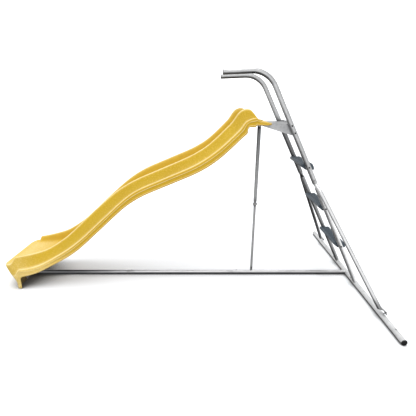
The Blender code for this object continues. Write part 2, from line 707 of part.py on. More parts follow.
def section(s):
    """One row of the chute's outer skin for the half y >= 0, as (x, y, z) points."""
    x, z, a = guide(s)
    up = (-math.sin(a), math.cos(a))
    bed = ramp(-x, 1.263, 1.583, -0.020, 0.012)
    rim = ramp(s, 0.000, 0.120, bed + 0.002, bed + 0.020)
    rim = ramp(s, 0.110, 0.225, rim, 0.093) if s < 0.23 else ramp(s, 0.232, 0.310, 0.093, 0.059)
    rim += ramp(s, 0.300, 0.420, 0.0, -0.003) + ramp(s, 0.560, 0.780, 0.0, 0.005)
    rim += ramp(-x, 0.55, 0.75, 0.0, 0.006) + ramp(-x, 1.05, 1.25, 0.0, -0.006)
    rim += ramp(-x, 1.20, 1.40, 0.0, 0.009)
    narrow = ramp(-x, 0.90, 1.25, 0.0, 0.014) + ramp(s, 0.260, 0.360, 0.0, 0.008) + ramp(s, 0.800, 1.000, 0.0, -0.008)
    ledge = ramp(s, 0.150, 0.290, 0.021, -0.019)
    if s < 0.20:
        ledge = min(ledge, rim - 0.004)
    ledge += ramp(s, 0.230, 0.330, 0.0, -0.013) + ramp(s, 0.480, 0.640, 0.0, 0.005) + ramp(-x, 0.40, 0.60, 0.0, -0.011)
    ledge += ramp(-x, 0.88, 1.02, 0.0, 0.005)
    ledge += ramp(-x, 1.113, 1.433, 0.0, -0.025)
    bottom = ramp(s, 0.205, 0.280, -0.045, -0.086)
    if s < 0.175:
        bottom = ramp(s, 0.146, 0.166, -0.031, -0.045)
    bottom += ramp(-x, 1.183, 1.503, 0.0, -0.035)
    flange = ledge + (bottom - ledge) * 0.56
    h = rim - bed
    off = [bed, bed, bed, bed, bed + 0.03 * h, bed + 0.13 * h, bed + 0.36 * h, rim - 0.22 * h,
           rim - 0.060 * h, rim, rim - 0.070 * h]
    d = rim - ledge
    off += [rim - 0.16 * d, ledge + 0.12 * d, ledge + 0.0035 * min(1.0, d / 0.03),
            ledge - 0.0030, flange, bottom]
    pts = []
    for k, (y, o) in enumerate(zip(ROW_Y, off)):
        y -= narrow * (0.0, 0.0, 0.0, 0.2, 0.5, 0.8, 0.9, 1.0, 1.0, 1.0, 1.0, 1.0, 0.5, 0.2, 0.1, 0.0, 0.0)[k]
        pts.append([x + up[0] * o, y, z + up[1] * o])
    return pts


def front_x(z):
    return FRONT_X + LIP_SETBACK * smoothstep((0.235 - z) / 0.195)


def corner_r(z):
    return CORNER_R - (CORNER_R - CORNER_R_FOOT) * smoothstep((0.235 - z) / 0.235)


def exit_top():
    """Height of the bed at the exit."""
    s = exit_s()
    x, z, a = guide(s)
    return z + 0.012 * math.cos(a)


def exit_s():
    lo, hi = GUIDE_LEN * 0.5, GUIDE_LEN
    for _ in range(60):
        mid = (lo + hi) / 2
        if guide(mid)[0] > X_EXIT:
            lo = mid
        else:
            hi = mid
    return lo


ZT = exit_top()
ROLL_PHI = (25.0, 48.0, 70.0, 90.0)
ROLL_RISE = (0.7, 1.0, 0.8, 0.4)                                  # share of the corner rise at each step of the roll
DISC_R = (0.0, 0.013, 0.026, CORNER_R - ROLL_R)                   # radii of the flat corner, up to the roll
WALL_SIDE_Z = (0.148, 0.139, 0.128, 0.060, 0.0)                   # levels of the last row on the side
SIDE_OUT = (0.0, 0.0008, 0.0050, 0.0030, -0.0040)              # how far each level stands out from the side
WALL_FRONT_Z = (0.185, 0.140, 0.095, 0.045, 0.0)                  # levels of the front lip


def roll_rise(phi, turn):
    """How far the roll stands up at `turn` degrees round a corner: 0 in front, all of it at the side."""
    return CORNER_RISE * ROLL_RISE[ROLL_PHI.index(phi)] * smoothstep((turn - 20.0) / 70.0)


def flat_section():
    """The last full row, where the walls have run out: flat bed, rolled edge, side down to the foot."""
    yc = SIDE_Y - CORNER_R
    pts = []
    for y in (0.0, 0.062, 0.118, 0.158):
        pts.append([X_EXIT, y, ZT])
    for r in DISC_R:
        pts.append([X_EXIT, yc + r, ZT])
    for phi in ROLL_PHI:
        a = math.radians(phi)
        pts.append([X_EXIT, yc + CORNER_R - ROLL_R + ROLL_R * math.sin(a),
                    ZT - ROLL_R + ROLL_R * math.cos(a) + roll_rise(phi, 90.0)])
    out = SIDE_OUT
    for z, o in zip(WALL_SIDE_Z, out):
        pts.append([front_x(z) + corner_r(z), SIDE_Y + o, z])
    return pts


def foot_curve(u):
    """Lower edge of the side near the exit: round the corner, down, and out to the ground."""
    r1, r2 = 0.045, 0.022
    zc = 0.0905
    a0 = math.radians(15.0)
    l1 = r1 * (math.pi / 2 - a0)
    l2 = zc - r2
    l3 = r2 * math.pi / 2
    d = u * (l1 + l2 + l3)
    if d <= l1:
        t = a0 + d / r1
        return FOOT_X + r1 - r1 * math.sin(t), zc + r1 * math.cos(t)
    if d <= l1 + l2:
        return FOOT_X, zc - (d - l1)
    t = (d - l1 - l2) / r2
    return FOOT_X - r2 + r2 * math.cos(t), r2 - r2 * math.sin(t)


def chute_rows():
    s_end = exit_s()
    # distances of the rows along the guide, closer where the shape turns
    stops = [LIP_START, LIP_START + 0.026, 0.080, 0.105, 0.128, 0.144, 0.153, 0.162, 0.174, 0.190, 0.206, 0.222, 0.240, 0.260, 0.284,
             0.320, 0.380]
    s0 = stops[-1]
    s_drop = None
    lo, hi = GUIDE_LEN * 0.5, GUIDE_LEN
    for _ in range(60):
        mid = (lo + hi) / 2
        if guide(mid)[0] > ROW_DROP:
            lo = mid
        else:
            hi = mid
    s_drop = lo
    n = 24
    stops += [s0 + (s_drop - s0) * i / n for i in range(1, n + 1)]
    rows = [section(s) for s in stops]
    m = 9
    flat = flat_section()
    for i in range(1, m):
        u = i / m
        s = s_drop + (s_end - s_drop) * u
        row = section(s)
        x = guide(s)[0]
        w = smoothstep((-x - 1.540) / (-X_EXIT - 1.540))
        # upper part: walls blend into the flat exit
        f_x = x
        new = []
        for k in range(12):
            fl = [f_x, flat[k][1], flat[k][2]]
            new.append([row[k][c] + (fl[c] - row[k][c]) * w for c in range(3)])
        bx, bz = foot_curve(u)
        tz = flat[11][2]
        f = 0.69 + (0.56 - 0.69) * u
        lx, lz = bx + (x - bx) * f, bz + (tz - bz) * f
        top = new[11]
        out = 0.0075 * (1 - 0.45 * u)
        y_in = ROW_Y[13] + (SIDE_Y - ROW_Y[13]) * w
        new.append([lx + (top[0] - lx) * 0.14, y_in + (top[1] - y_in) * 0.14, lz + (top[2] - lz) * 0.14])
        new.append([lx + (top[0] - lx) * 0.02, y_in, lz + 0.0035])
        new.append([lx, y_in + out, lz - 0.0035])
        mid = 0.46
        new.append([lx + (bx - lx) * mid, y_in + out + 0.0012, lz + (bz - lz) * mid])
        new.append([bx, y_in + out + 0.0035 * (1 - u), bz])
        rows.append(new)
    rows.append(flat)
    return rows


def chute_mesh():
    rows = chute_rows()
    # rounded corners at the free end of the top lip
    r = 0.055
    half = ROW_Y[-1]
    for row, depth in ((rows[0], 0.0), (rows[1], 0.026)):
        inset = r - math.sqrt(max(0.0, r * r - (r - min(depth, r)) ** 2))
        scale = (half - inset) / half
        for p in row:
            p[1] *= scale
    mesh = bpy.data.meshes.new("slide_chute")
    bm = bmesh.new()
    grid = [[bm.verts.new(p) for p in row] for row in rows]
    for i in range(len(grid) - 1):
        for k in range(K - 1):
            bm.faces.new((grid[i][k], grid[i + 1][k], grid[i + 1][k + 1], grid[i][k + 1]))
    last = grid[-1]
    yc = SIDE_Y - CORNER_R
    # front: columns across the bed, from the last row over the roll and down the lip
    levels = [("disc", r) for r in DISC_R[1:]] + [("roll", p) for p in ROLL_PHI] + \
             [("wall", i) for i in range(len(WALL_FRONT_Z))]
    frac = [y / yc for y in (0.0, 0.062, 0.118, 0.158)] + [1.0]
    cols = [[last[j]] for j in range(5)]
    for kind, val in levels:
        for j, f in enumerate(frac):
            if kind == "disc":
                co = (X_EXIT - val, yc * f, ZT)
            elif kind == "roll":
                a = math.radians(val)
                co = (FRONT_X + ROLL_R - ROLL_R * math.sin(a), yc * f, ZT - ROLL_R + ROLL_R * math.cos(a))
            else:
                z = WALL_FRONT_Z[val]
                co = (front_x(z), (SIDE_Y - corner_r(z)) * f, z)
            cols[j].append(bm.verts.new(co))
    for j in range(4):
        for i in range(len(levels)):
            bm.faces.new((cols[j][i], cols[j][i + 1], cols[j + 1][i + 1], cols[j + 1][i]))
    # corner: turned about a vertical axis between the front column and the last row
    thetas = (0.0, 22.5, 45.0, 67.5, 90.0)
    prev = cols[4]
    for t in thetas[1:]:
        th = math.radians(t)
        if t == 90.0:
            cur = [last[4]] + last[5:]
        else:
            cur = [last[4]]
            for kind, val in levels:
                if kind == "disc":
                    co = (X_EXIT - val * math.cos(th), yc + val * math.sin(th), ZT)
                elif kind == "roll":
                    a = math.radians(val)
                    rp = CORNER_R - ROLL_R + ROLL_R * math.sin(a)
                    co = (X_EXIT - rp * math.cos(th), yc + rp * math.sin(th),
                          ZT - ROLL_R + ROLL_R * math.cos(a) + roll_rise(val, t))
                else:
                    wgt = smoothstep(t / 90.0)
                    z = WALL_FRONT_Z[val] + (WALL_SIDE_Z[val] - WALL_FRONT_Z[val]) * wgt
                    rr = corner_r(z)
                    out = SIDE_OUT[val] * max(0.0, (t - 40.0) / 50.0)
                    co = (front_x(z) + rr - (rr + out) * math.cos(th), SIDE_Y - rr + (rr + out) * math.sin(th), z)
                cur.append(bm.verts.new(co))
        for i in range(len(levels)):
            if i == 0:
                bm.faces.new((prev[0], prev[1], cur[1]))
            else:
                bm.faces.new((prev[i], prev[i + 1], cur[i + 1], cur[i]))
        prev = cur
    bmesh.ops.recalc_face_normals(bm, faces=bm.faces)
    # the open skin faces up and out, so that its thickness goes to the inside
    f0 = min(bm.faces, key=lambda f: (f.calc_center_median() - Vector((0.70, 0.03, 1.51))).length)
    if f0.normal.z < 0:
        bmesh.ops.reverse_faces(bm, faces=bm.faces)
    bm.to_mesh(mesh)
    bm.free()
    return mesh


chute = new_object("slide_chute", chute_mesh(), "yellow_plastic")
mod = chute.modifiers.new("halves", "MIRROR")
mod.use_axis = (False, True, False)
mod.use_clip = True
mod.merge_threshold = 0.0001
mod = chute.modifiers.new("wall", "SOLIDIFY")
mod.thickness = CHUTE_T
mod.offset = -1.0
mod.use_even_offset = True
mod.use_quality_normals = True
mod.thickness_clamp = 0.0

# ---------------------------------------------------------------- stub under the deck for the strut
boolean(deck, bore("deck_stub", (STRUT_X, 0, DECK_UNDER + 0.001), (STRUT_X, 0, DECK_UNDER - 0.068), STRUT_R[1] - GAP, 18),
        "UNION")

# ---------------------------------------------------------------- bolts, screws and their holes
SHANK_R = BOLT_R - 0.0002


def drilled(name, start, end, targets, radius=BOLT_R + GAP):
    tool = bore(name, start, end, radius, 12)
    for t in targets:
        boolean(bpy.data.objects[t], tool)


def through_bolt(name, origin, axis, grip, nut_at=None, look="dark_bolt"):
    """Bolt whose head sits at `origin`, with its nut at the distance nut_at below it."""
    key = "bolt_%d_%d" % (round(grip * 1e4), round((nut_at or 0) * 1e4))
    mesh = BOLTS.get(key) or bolt_mesh(key, 0.0125, 0.0055, SHANK_R, grip, nut_at)
    BOLTS[key] = mesh
    return smooth(new_object(name, mesh.copy(), look, place(origin, axis)), 30)


def screw(name, origin, axis, look, head_r=0.0066, head_h=0.0036, shank_r=SHANK_R, length=0.0100, steps=16):
    mesh = dome_screw_mesh(name, head_r, head_h, shank_r, length, steps)
    return smooth(new_object(name, mesh, look, place(origin, axis, (0, 1, 0))), 50)


BOLTS = {}
SIDES = (("near", -1), ("far", 1))

# deck to the stiles
for side, s in SIDES:
    for nm, z in (("upper", 1.4910), ("lower", 1.4350)):
        o = stile_point(z, s * (STILE_Y + RAIL_R[0] + 2 * GAP))
        drilled("deck_hole_%s_%s" % (nm, side), o + Vector((0, s * 0.01, 0)), stile_point(z, s * (DECK_HALF - 0.012)),
                ["handrail_" + side, "platform_deck"])
        through_bolt("deck_bolt_%s_%s" % (nm, side), o, (0, s, 0), 2 * RAIL_R[0] + DECK_T + 0.0110,
                     2 * RAIL_R[0] + DECK_T + 4 * GAP)

# treads to the stiles
for i, nm in enumerate(("lower", "middle", "upper")):
    z = STEP_Z0 + STEP_PITCH * i
    upper = z > JOINT_Z
    r_out = RAIL_R[0] if upper else STILE_R[0]
    for side, s in SIDES:
        o = stile_point(z, s * (STILE_Y + r_out + 2 * GAP))
        drilled("step_hole_%s_%s" % (nm, side), o + Vector((0, s * 0.01, 0)),
                stile_point(z, s * (STILE_Y - r_out - 0.002)), [("handrail_" if upper else "lower_stile_") + side])
        through_bolt("step_bolt_%s_%s" % (nm, side), o, (0, s, 0), 2 * r_out + 0.0150)

# upper stiles to the braces, just above the joint
for side, s in SIDES:
    o = stile_point(JOINT_Z + 0.026, s * (STILE_Y + RAIL_R[0] + 2 * GAP))
    e = stile_point(JOINT_Z + 0.026, s * (STILE_Y - RAIL_R[0] - 0.006))
    drilled("joint_hole_" + side, o + Vector((0, s * 0.01, 0)), e, ["handrail_" + side, "brace_leg_" + side])
    through_bolt("stile_joint_bolt_" + side, o, (0, s, 0), 2 * RAIL_R[0] + 0.0100, 2 * RAIL_R[0] + 4 * GAP, "zinc_bolt")

# lower stiles to the stubs of the crossbar
for side, s in SIDES:
    c = Vector((CROSS_X, s * STILE_Y, CROSS_Z)) + STILE_DIR * FOOT_BOLT
    o = c - STILE_NORMAL * (STILE_R[0] + 2 * GAP)
    drilled("foot_hole_" + side, o - STILE_NORMAL * 0.01, c + STILE_NORMAL * 0.0145, ["lower_stile_" + side, "ground_crossbar"])
    through_bolt("stile_foot_bolt_" + side, o, -STILE_NORMAL, 2 * STILE_R[0] - 0.0060, None, "zinc_bolt")

# braces to the crossbar
for side, s in SIDES:
    rings, n = brace_mesh(s)
    o = rings[-2][0] + STILE_NORMAL * (0.0032 + 2 * GAP)
    drilled("brace_hole_" + side, o + STILE_NORMAL * 0.01, o - STILE_NORMAL * 0.030, ["brace_leg_" + side, "ground_crossbar"])
    through_bolt("brace_foot_bolt_" + side, o, STILE_NORMAL, 0.0200)

# base rail joints, and the rail to the crossbar's stub
for nm, x, names in (("front", RAIL_JOINT_X[0] + 0.046, ("base_rail_front", "base_rail_middle")),
                     ("middle", RAIL_JOINT_X[1] + 0.040, ("base_rail_middle", "base_rail_rear")),
                     ("rear", CROSS_X - 0.062, ("base_rail_rear", "ground_crossbar"))):
    o = Vector((x, 0, CROSS_Z + BASE_R[0] + 2 * GAP))
    drilled("rail_hole_" + nm, o + Vector((0, 0, 0.01)), o - Vector((0, 0, 0.012)), names)
    screw("base_rail_screw_" + nm, o, (0, 0, 1), "zinc_bolt")

# strut: joint, foot and head
for name, z, r, names in (("strut_joint_bolt", STRUT_JOINT_Z, NECK_R, ("strut_upper", "strut_lower")),
                          ("strut_foot_bolt", 0.0780, STRUT_LOW_R[0], ("strut_lower", "base_rail_rear")),
                          ("strut_head_bolt", 1.4600, STRUT_R[0], ("strut_upper", "platform_deck"))):
    out = Vector((-1, 0, 0)) if "joint" in name else Vector((0, -1, 0))
    o = Vector((STRUT_X, 0, z)) + out * (r + 2 * GAP)
    drilled(name + "_hole", o + out * 0.01, o - out * 0.045, names)
    through_bolt(name, o, out, 2 * r + 0.0110, 2 * r + 4 * GAP)

# screws in the top of the crossbar, a little in from its ends
for side, s in SIDES:
    o = Vector((CROSS_X, s * PEG_SCREW_Y, CROSS_Z + CROSS_R[0] + 2 * GAP))
    drilled("peg_hole_" + side, o + Vector((0, 0, 0.01)), o - Vector((0, 0, 0.010)), ["ground_crossbar"], 0.0022 + GAP)
    screw("crossbar_peg_screw_" + side, o, (0, 0, 1), "dark_bolt", 0.0045, 0.0026, 0.0021, 0.0085, 12)

# chute to the deck and to the toe plate
for side, s in SIDES:
    o = Vector((0.7020, s * 0.1150, GUIDE_START[1] - 0.020 + 0.0004))
    drilled("lip_hole_" + side, o + Vector((0, 0, 0.01)), o - Vector((0, 0, 0.020)), ["slide_chute", "platform_deck"])
    screw("slide_lip_bolt_" + side, o, (0, 0, 1), "dark_bolt", 0.0088, 0.0042, SHANK_R, 0.0180)
for side, s in SIDES:
    o = Vector((TOE_PLATE[0], s * 0.0850, TOE_PLATE[1])) + PLATE_DIR * 0.0180 - PLATE_N * (0.0020 + CHUTE_T + 0.0012)
    drilled("toe_hole_" + side, o - PLATE_N * 0.01, o + PLATE_N * 0.020, ["slide_chute", "base_rail_front"])
    screw("slide_toe_bolt_" + side, o, -PLATE_N, "dark_bolt", 0.0088, 0.0042, SHANK_R, 0.0170)

# ---------------------------------------------------------------- smooth shading of the round pieces
for name in ("handrail_near", "handrail_far", "lower_stile_near", "lower_stile_far", "brace_leg_near",
             "brace_leg_far", "ground_crossbar", "base_rail_front", "base_rail_middle", "base_rail_rear",
             "strut_lower", "strut_upper", "platform_deck", "slide_chute", "crossbar_cap_near", "crossbar_cap_far"):
    settle(bpy.data.objects[name], 38.0)
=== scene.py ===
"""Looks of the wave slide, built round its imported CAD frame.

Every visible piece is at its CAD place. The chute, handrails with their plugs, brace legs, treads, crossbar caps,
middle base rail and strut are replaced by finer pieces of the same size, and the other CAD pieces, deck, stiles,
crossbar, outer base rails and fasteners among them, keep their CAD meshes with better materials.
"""
import json
import math

import bmesh
import bpy
from mathutils import Matrix, Vector, noise


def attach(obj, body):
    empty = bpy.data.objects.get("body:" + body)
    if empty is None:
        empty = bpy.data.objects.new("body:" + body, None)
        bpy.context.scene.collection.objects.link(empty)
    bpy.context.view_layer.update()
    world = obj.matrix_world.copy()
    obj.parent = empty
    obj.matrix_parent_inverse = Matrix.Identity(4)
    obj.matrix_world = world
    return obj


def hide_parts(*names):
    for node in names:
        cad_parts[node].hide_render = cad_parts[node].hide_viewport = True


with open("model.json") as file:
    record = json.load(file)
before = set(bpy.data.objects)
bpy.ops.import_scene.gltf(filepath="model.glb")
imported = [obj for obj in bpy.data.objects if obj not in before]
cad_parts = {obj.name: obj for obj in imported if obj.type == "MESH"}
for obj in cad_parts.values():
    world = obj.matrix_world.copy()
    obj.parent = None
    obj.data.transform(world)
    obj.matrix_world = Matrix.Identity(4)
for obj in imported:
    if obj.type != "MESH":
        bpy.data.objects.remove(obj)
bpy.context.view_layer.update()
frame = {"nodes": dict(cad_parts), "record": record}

# studio levels
WORLD = 1.0
LOW_SKY = (0.01, 0.01, 0.01)
TOP_SKY = (0.85, 0.85, 0.85)
SKY = ((0.12, (0.010, 0.010, 0.010)), (0.20, (0.06, 0.06, 0.06)), (0.27, (0.50, 0.50, 0.50)), (0.33, (1.25, 1.25, 1.25)), (0.46, (1.20, 1.20, 1.20)), (0.62, (0.74, 0.74, 0.74)), (0.80, TOP_SKY))
SUN_TOP = 1.45
SUN_FRONT = 0.40
FLOOR_GLOW = 0.22

# ---------------------------------------------------------------- driving dimensions
GAP = 0.0003                      # clearance left between touching pieces

# tube sizes (outer radius, inner radius)
RAIL_R = (0.0210, 0.0193)         # handrail and upper stile
STILE_R = (0.0187, 0.0167)        # lower stile, slides into the upper stile
BRACE_R = (0.0168, 0.0150)        # splayed brace leg
CROSS_R = (0.0210, 0.0188)        # ground crossbar
BASE_R = (0.0190, 0.0171)         # base rail
STRUT_R = (0.0160, 0.0142)                                        # upper tube of the strut
STRUT_LOW_R = (0.0118, 0.0102)                                    # lower tube of the strut
CAP_R = 0.0225                    # crossbar end cap

CROSS_X = 1.6533                  # crossbar axis
CROSS_Z = CAP_R
CROSS_HALF = 0.9455               # half length of the crossbar tube
PEG_SCREW_Y = 0.8400              # screws near the ends of the crossbar
STILE_Y = 0.2022                  # stile axis from the plane of symmetry
STILE_LEAN = 0.5194               # dX/dZ of the stiles, leaning towards the chute
JOINT_Z = 1.0220                  # lower end of the upper stile
HAND_END = (0.3400, 1.8818)       # X, Z of the free end of the handrail
HAND_SLOPE = 0.0377               # rise of the handrail towards the ladder
HAND_BEND = 0.2020                # bend radius of the handrail
BRACE_SPLAY = 0.4508              # dY/dZ of the brace
BRACE_REF = (0.2050, 0.6034)      # Z and Y of a point on the brace axis
BRACE_SHIFT = 0.0030              # how far the braces stand behind the plane of the stiles
SPIGOT_UP = 0.0560                # how far the brace enters the upper stile
STILE_TOP_Z = 0.9800              # coped upper end of the lower stile

DECK_TOP = 1.5050
DECK_T = 0.0030
DECK_FRONT_X = 0.6470
DECK_REAR_X = 0.8960
DECK_HALF = 0.1809                # outer faces of the side gussets
DECK_LOW = (0.9390, 1.4040)       # lowest corner of a gusset, X, Z

STEP_Z0 = 0.4250                  # height of the lowest tread's middle
STEP_PITCH = 0.3660
STEP_OUTLINE = ((-0.0530, 0.0260, 0.009), (0.0390, 0.0260, 0.010), (0.0580, -0.0110, 0.008),
                (0.0560, -0.0280, 0.005), (-0.0130, -0.0280, 0.008), (-0.0560, 0.0060, 0.006))   # X, Z, radius

STRUT_X = 0.6690
STRUT_JOINT_Z = 0.7620
RAIL_JOINT_X = (-0.6080, 0.4800)  # the two joints of the base rail
TOE_PLATE = (-1.5872, 0.0525)     # middle of the plate that the exit is bolted to, X, Z

# chute: a guide line of straight runs and tangent arcs, from the top lip down to the exit
GUIDE_START = (0.7570, 1.5300)
GUIDE = (("line", 0.2042),
         ("arc", 0.1150, 43.6),
         ("line", 0.2004),
         ("arc", 0.9480, 22.65),
         ("line", 0.3605),
         ("arc", 1.1100, 42.2),
         ("line", 0.4357),
         ("arc", 1.1450, 4.52))
CHUTE_T = 0.0045                  # wall thickness of the moulding
FRONT_X = -(CROSS_X + CAP_R)      # foremost point of the exit lip
ROLL_R = 0.0220                   # radius of the rolled exit edge
CORNER_R = 0.0660                 # plan radius of the exit corners
CORNER_R_FOOT = 0.0300
SIDE_Y = 0.2620                   # side face at the exit
LIP_SETBACK = 0.0840              # how far the lip leans back down to the ground
FOOT_X = -1.5398                  # rear edge of the foot at the exit

# ---------------------------------------------------------------- stile line
def stile_x(z):
    return CROSS_X - STILE_LEAN * (z - CROSS_Z)


STILE_DIR = Vector((-STILE_LEAN, 0.0, 1.0)).normalized()          # up along the stile
STILE_NORMAL = Vector((STILE_DIR.z, 0.0, -STILE_DIR.x))           # out of the ladder's back, up and rearwards


def stile_point(z, y):
    return Vector((stile_x(z), y, z))

# ---------------------------------------------------------------- chute
def smoothstep(t):
    t = max(0.0, min(1.0, t))
    return t * t * (3.0 - 2.0 * t)


def ramp(v, v0, v1, a, b):
    """a before v0, b after v1, smooth between them."""
    return a + (b - a) * smoothstep((v - v0) / (v1 - v0))


def guide_segments():
    segs = []
    x, z, a = GUIDE_START[0], GUIDE_START[1], 0.0
    for g in GUIDE:
        if g[0] == "line":
            segs.append(("line", g[1], x, z, a))
            x -= math.cos(a) * g[1]
            z -= math.sin(a) * g[1]
        else:
            r, a1 = g[1], math.radians(g[2])
            sg = 1 if a1 > a else -1
            cx, cz = x + sg * r * math.sin(a), z - sg * r * math.cos(a)
            segs.append(("arc", r * abs(a1 - a), r, sg, cx, cz, a, a1))
            x, z, a = cx - sg * r * math.sin(a1), cz + sg * r * math.cos(a1), a1
    return segs


GSEGS = guide_segments()
GUIDE_LEN = sum(g[1] for g in GSEGS)


def guide(s):
    """Point (x, z) and angle below the horizontal at the distance s from the top lip."""
    for g in GSEGS:
        if s <= g[1] or g is GSEGS[-1]:
            if g[0] == "line":
                _, _, x, z, a = g
                return x - math.cos(a) * s, z - math.sin(a) * s, a
            _, length, r, sg, cx, cz, a0, a1 = g
            t = a0 + (a1 - a0) * s / length
            return cx - sg * r * math.sin(t), cz + sg * r * math.cos(t), t
        s -= g[1]


ROW_Y = (0.0, 0.062, 0.118, 0.158, 0.182, 0.2000, 0.2105, 0.2235, 0.2335, 0.2415, 0.2490, 0.2510, 0.2540, 0.2550,
         0.2625, 0.2640, 0.2670)
K = len(ROW_Y)
LIP_START = 0.026                                                 # free end of the top lip along the guide
CORNER_RISE = 0.012                                               # the side rims run out round the corners at this height
X_EXIT = FRONT_X + CORNER_R                                       # where the exit corners begin
ROW_DROP = -1.5187                                                # where the skirt starts to turn down to the foot


def section(s):
    """One row of the chute's outer skin for the half y >= 0, as (x, y, z) points."""
    x, z, a = guide(s)
    up = (-math.sin(a), math.cos(a))
    bed = ramp(-x, 1.263, 1.583, -0.020, 0.012)
    rim = ramp(s, 0.000, 0.120, bed + 0.002, bed + 0.020)
    rim = ramp(s, 0.110, 0.225, rim, 0.093) if s < 0.23 else ramp(s, 0.232, 0.310, 0.093, 0.059)
    rim += ramp(s, 0.300, 0.420, 0.0, -0.003) + ramp(s, 0.560, 0.780, 0.0, 0.005)
    rim += ramp(-x, 0.55, 0.75, 0.0, 0.006) + ramp(-x, 1.05, 1.25, 0.0, -0.006)
    rim += ramp(-x, 1.20, 1.40, 0.0, 0.009)
    narrow = ramp(-x, 0.90, 1.25, 0.0, 0.014) + ramp(s, 0.260, 0.360, 0.0, 0.008) + ramp(s, 0.800, 1.000, 0.0, -0.008)
    ledge = ramp(s, 0.150, 0.290, 0.021, -0.019)
    if s < 0.20:
        ledge = min(ledge, rim - 0.004)
    ledge += ramp(s, 0.230, 0.330, 0.0, -0.013) + ramp(s, 0.480, 0.640, 0.0, 0.005) + ramp(-x, 0.40, 0.60, 0.0, -0.011)
    ledge += ramp(-x, 0.88, 1.02, 0.0, 0.005)
    ledge += ramp(-x, 1.113, 1.433, 0.0, -0.025)
    bottom = ramp(s, 0.205, 0.280, -0.045, -0.086)
    if s < 0.175:
        bottom = ramp(s, 0.146, 0.166, -0.031, -0.045)
    bottom += ramp(-x, 1.183, 1.503, 0.0, -0.035)
    flange = ledge + (bottom - ledge) * 0.56
    h = rim - bed
    off = [bed, bed, bed, bed, bed + 0.03 * h, bed + 0.13 * h, bed + 0.36 * h, rim - 0.22 * h,
           rim - 0.060 * h, rim, rim - 0.070 * h]
    d = rim - ledge
    off += [rim - 0.16 * d, ledge + 0.12 * d, ledge + 0.0035 * min(1.0, d / 0.03),
            ledge - 0.0030, flange, bottom]
    pts = []
    for k, (y, o) in enumerate(zip(ROW_Y, off)):
        y -= narrow * (0.0, 0.0, 0.0, 0.2, 0.5, 0.8, 0.9, 1.0, 1.0, 1.0, 1.0, 1.0, 0.5, 0.2, 0.1, 0.0, 0.0)[k]
        pts.append([x + up[0] * o, y, z + up[1] * o])
    return pts


def front_x(z):
    return FRONT_X + LIP_SETBACK * smoothstep((0.235 - z) / 0.195)


def corner_r(z):
    return CORNER_R - (CORNER_R - CORNER_R_FOOT) * smoothstep((0.235 - z) / 0.235)


def exit_top():
    """Height of the bed at the exit."""
    s = exit_s()
    x, z, a = guide(s)
    return z + 0.012 * math.cos(a)


def exit_s():
    lo, hi = GUIDE_LEN * 0.5, GUIDE_LEN
    for _ in range(60):
        mid = (lo + hi) / 2
        if guide(mid)[0] > X_EXIT:
            lo = mid
        else:
            hi = mid
    return lo


ZT = exit_top()
ROLL_PHI = (25.0, 48.0, 70.0, 90.0)
ROLL_RISE = (0.7, 1.0, 0.8, 0.4)                                  # share of the corner rise at each step of the roll
DISC_R = (0.0, 0.013, 0.026, CORNER_R - ROLL_R)                   # radii of the flat corner, up to the roll
WALL_SIDE_Z = (0.148, 0.139, 0.128, 0.060, 0.0)                   # levels of the last row on the side
SIDE_OUT = (0.0, 0.0008, 0.0050, 0.0030, -0.0040)              # how far each level stands out from the side
WALL_FRONT_Z = (0.185, 0.140, 0.095, 0.045, 0.0)                  # levels of the front lip


def roll_rise(phi, turn):
    """How far the roll stands up at `turn` degrees round a corner: 0 in front, all of it at the side."""
    return CORNER_RISE * ROLL_RISE[ROLL_PHI.index(phi)] * smoothstep((turn - 20.0) / 70.0)


def flat_section():
    """The last full row, where the walls have run out: flat bed, rolled edge, side down to the foot."""
    yc = SIDE_Y - CORNER_R
    pts = []
    for y in (0.0, 0.062, 0.118, 0.158):
        pts.append([X_EXIT, y, ZT])
    for r in DISC_R:
        pts.append([X_EXIT, yc + r, ZT])
    for phi in ROLL_PHI:
        a = math.radians(phi)
        pts.append([X_EXIT, yc + CORNER_R - ROLL_R + ROLL_R * math.sin(a),
                    ZT - ROLL_R + ROLL_R * math.cos(a) + roll_rise(phi, 90.0)])
    out = SIDE_OUT
    for z, o in zip(WALL_SIDE_Z, out):
        pts.append([front_x(z) + corner_r(z), SIDE_Y + o, z])
    return pts


def foot_curve(u):
    """Lower edge of the side near the exit: round the corner, down, and out to the ground."""
    r1, r2 = 0.045, 0.022
    zc = 0.0905
    a0 = math.radians(15.0)
    l1 = r1 * (math.pi / 2 - a0)
    l2 = zc - r2
    l3 = r2 * math.pi / 2
    d = u * (l1 + l2 + l3)
    if d <= l1:
        t = a0 + d / r1
        return FOOT_X + r1 - r1 * math.sin(t), zc + r1 * math.cos(t)
    if d <= l1 + l2:
        return FOOT_X, zc - (d - l1)
    t = (d - l1 - l2) / r2
    return FOOT_X - r2 + r2 * math.cos(t), r2 - r2 * math.sin(t)


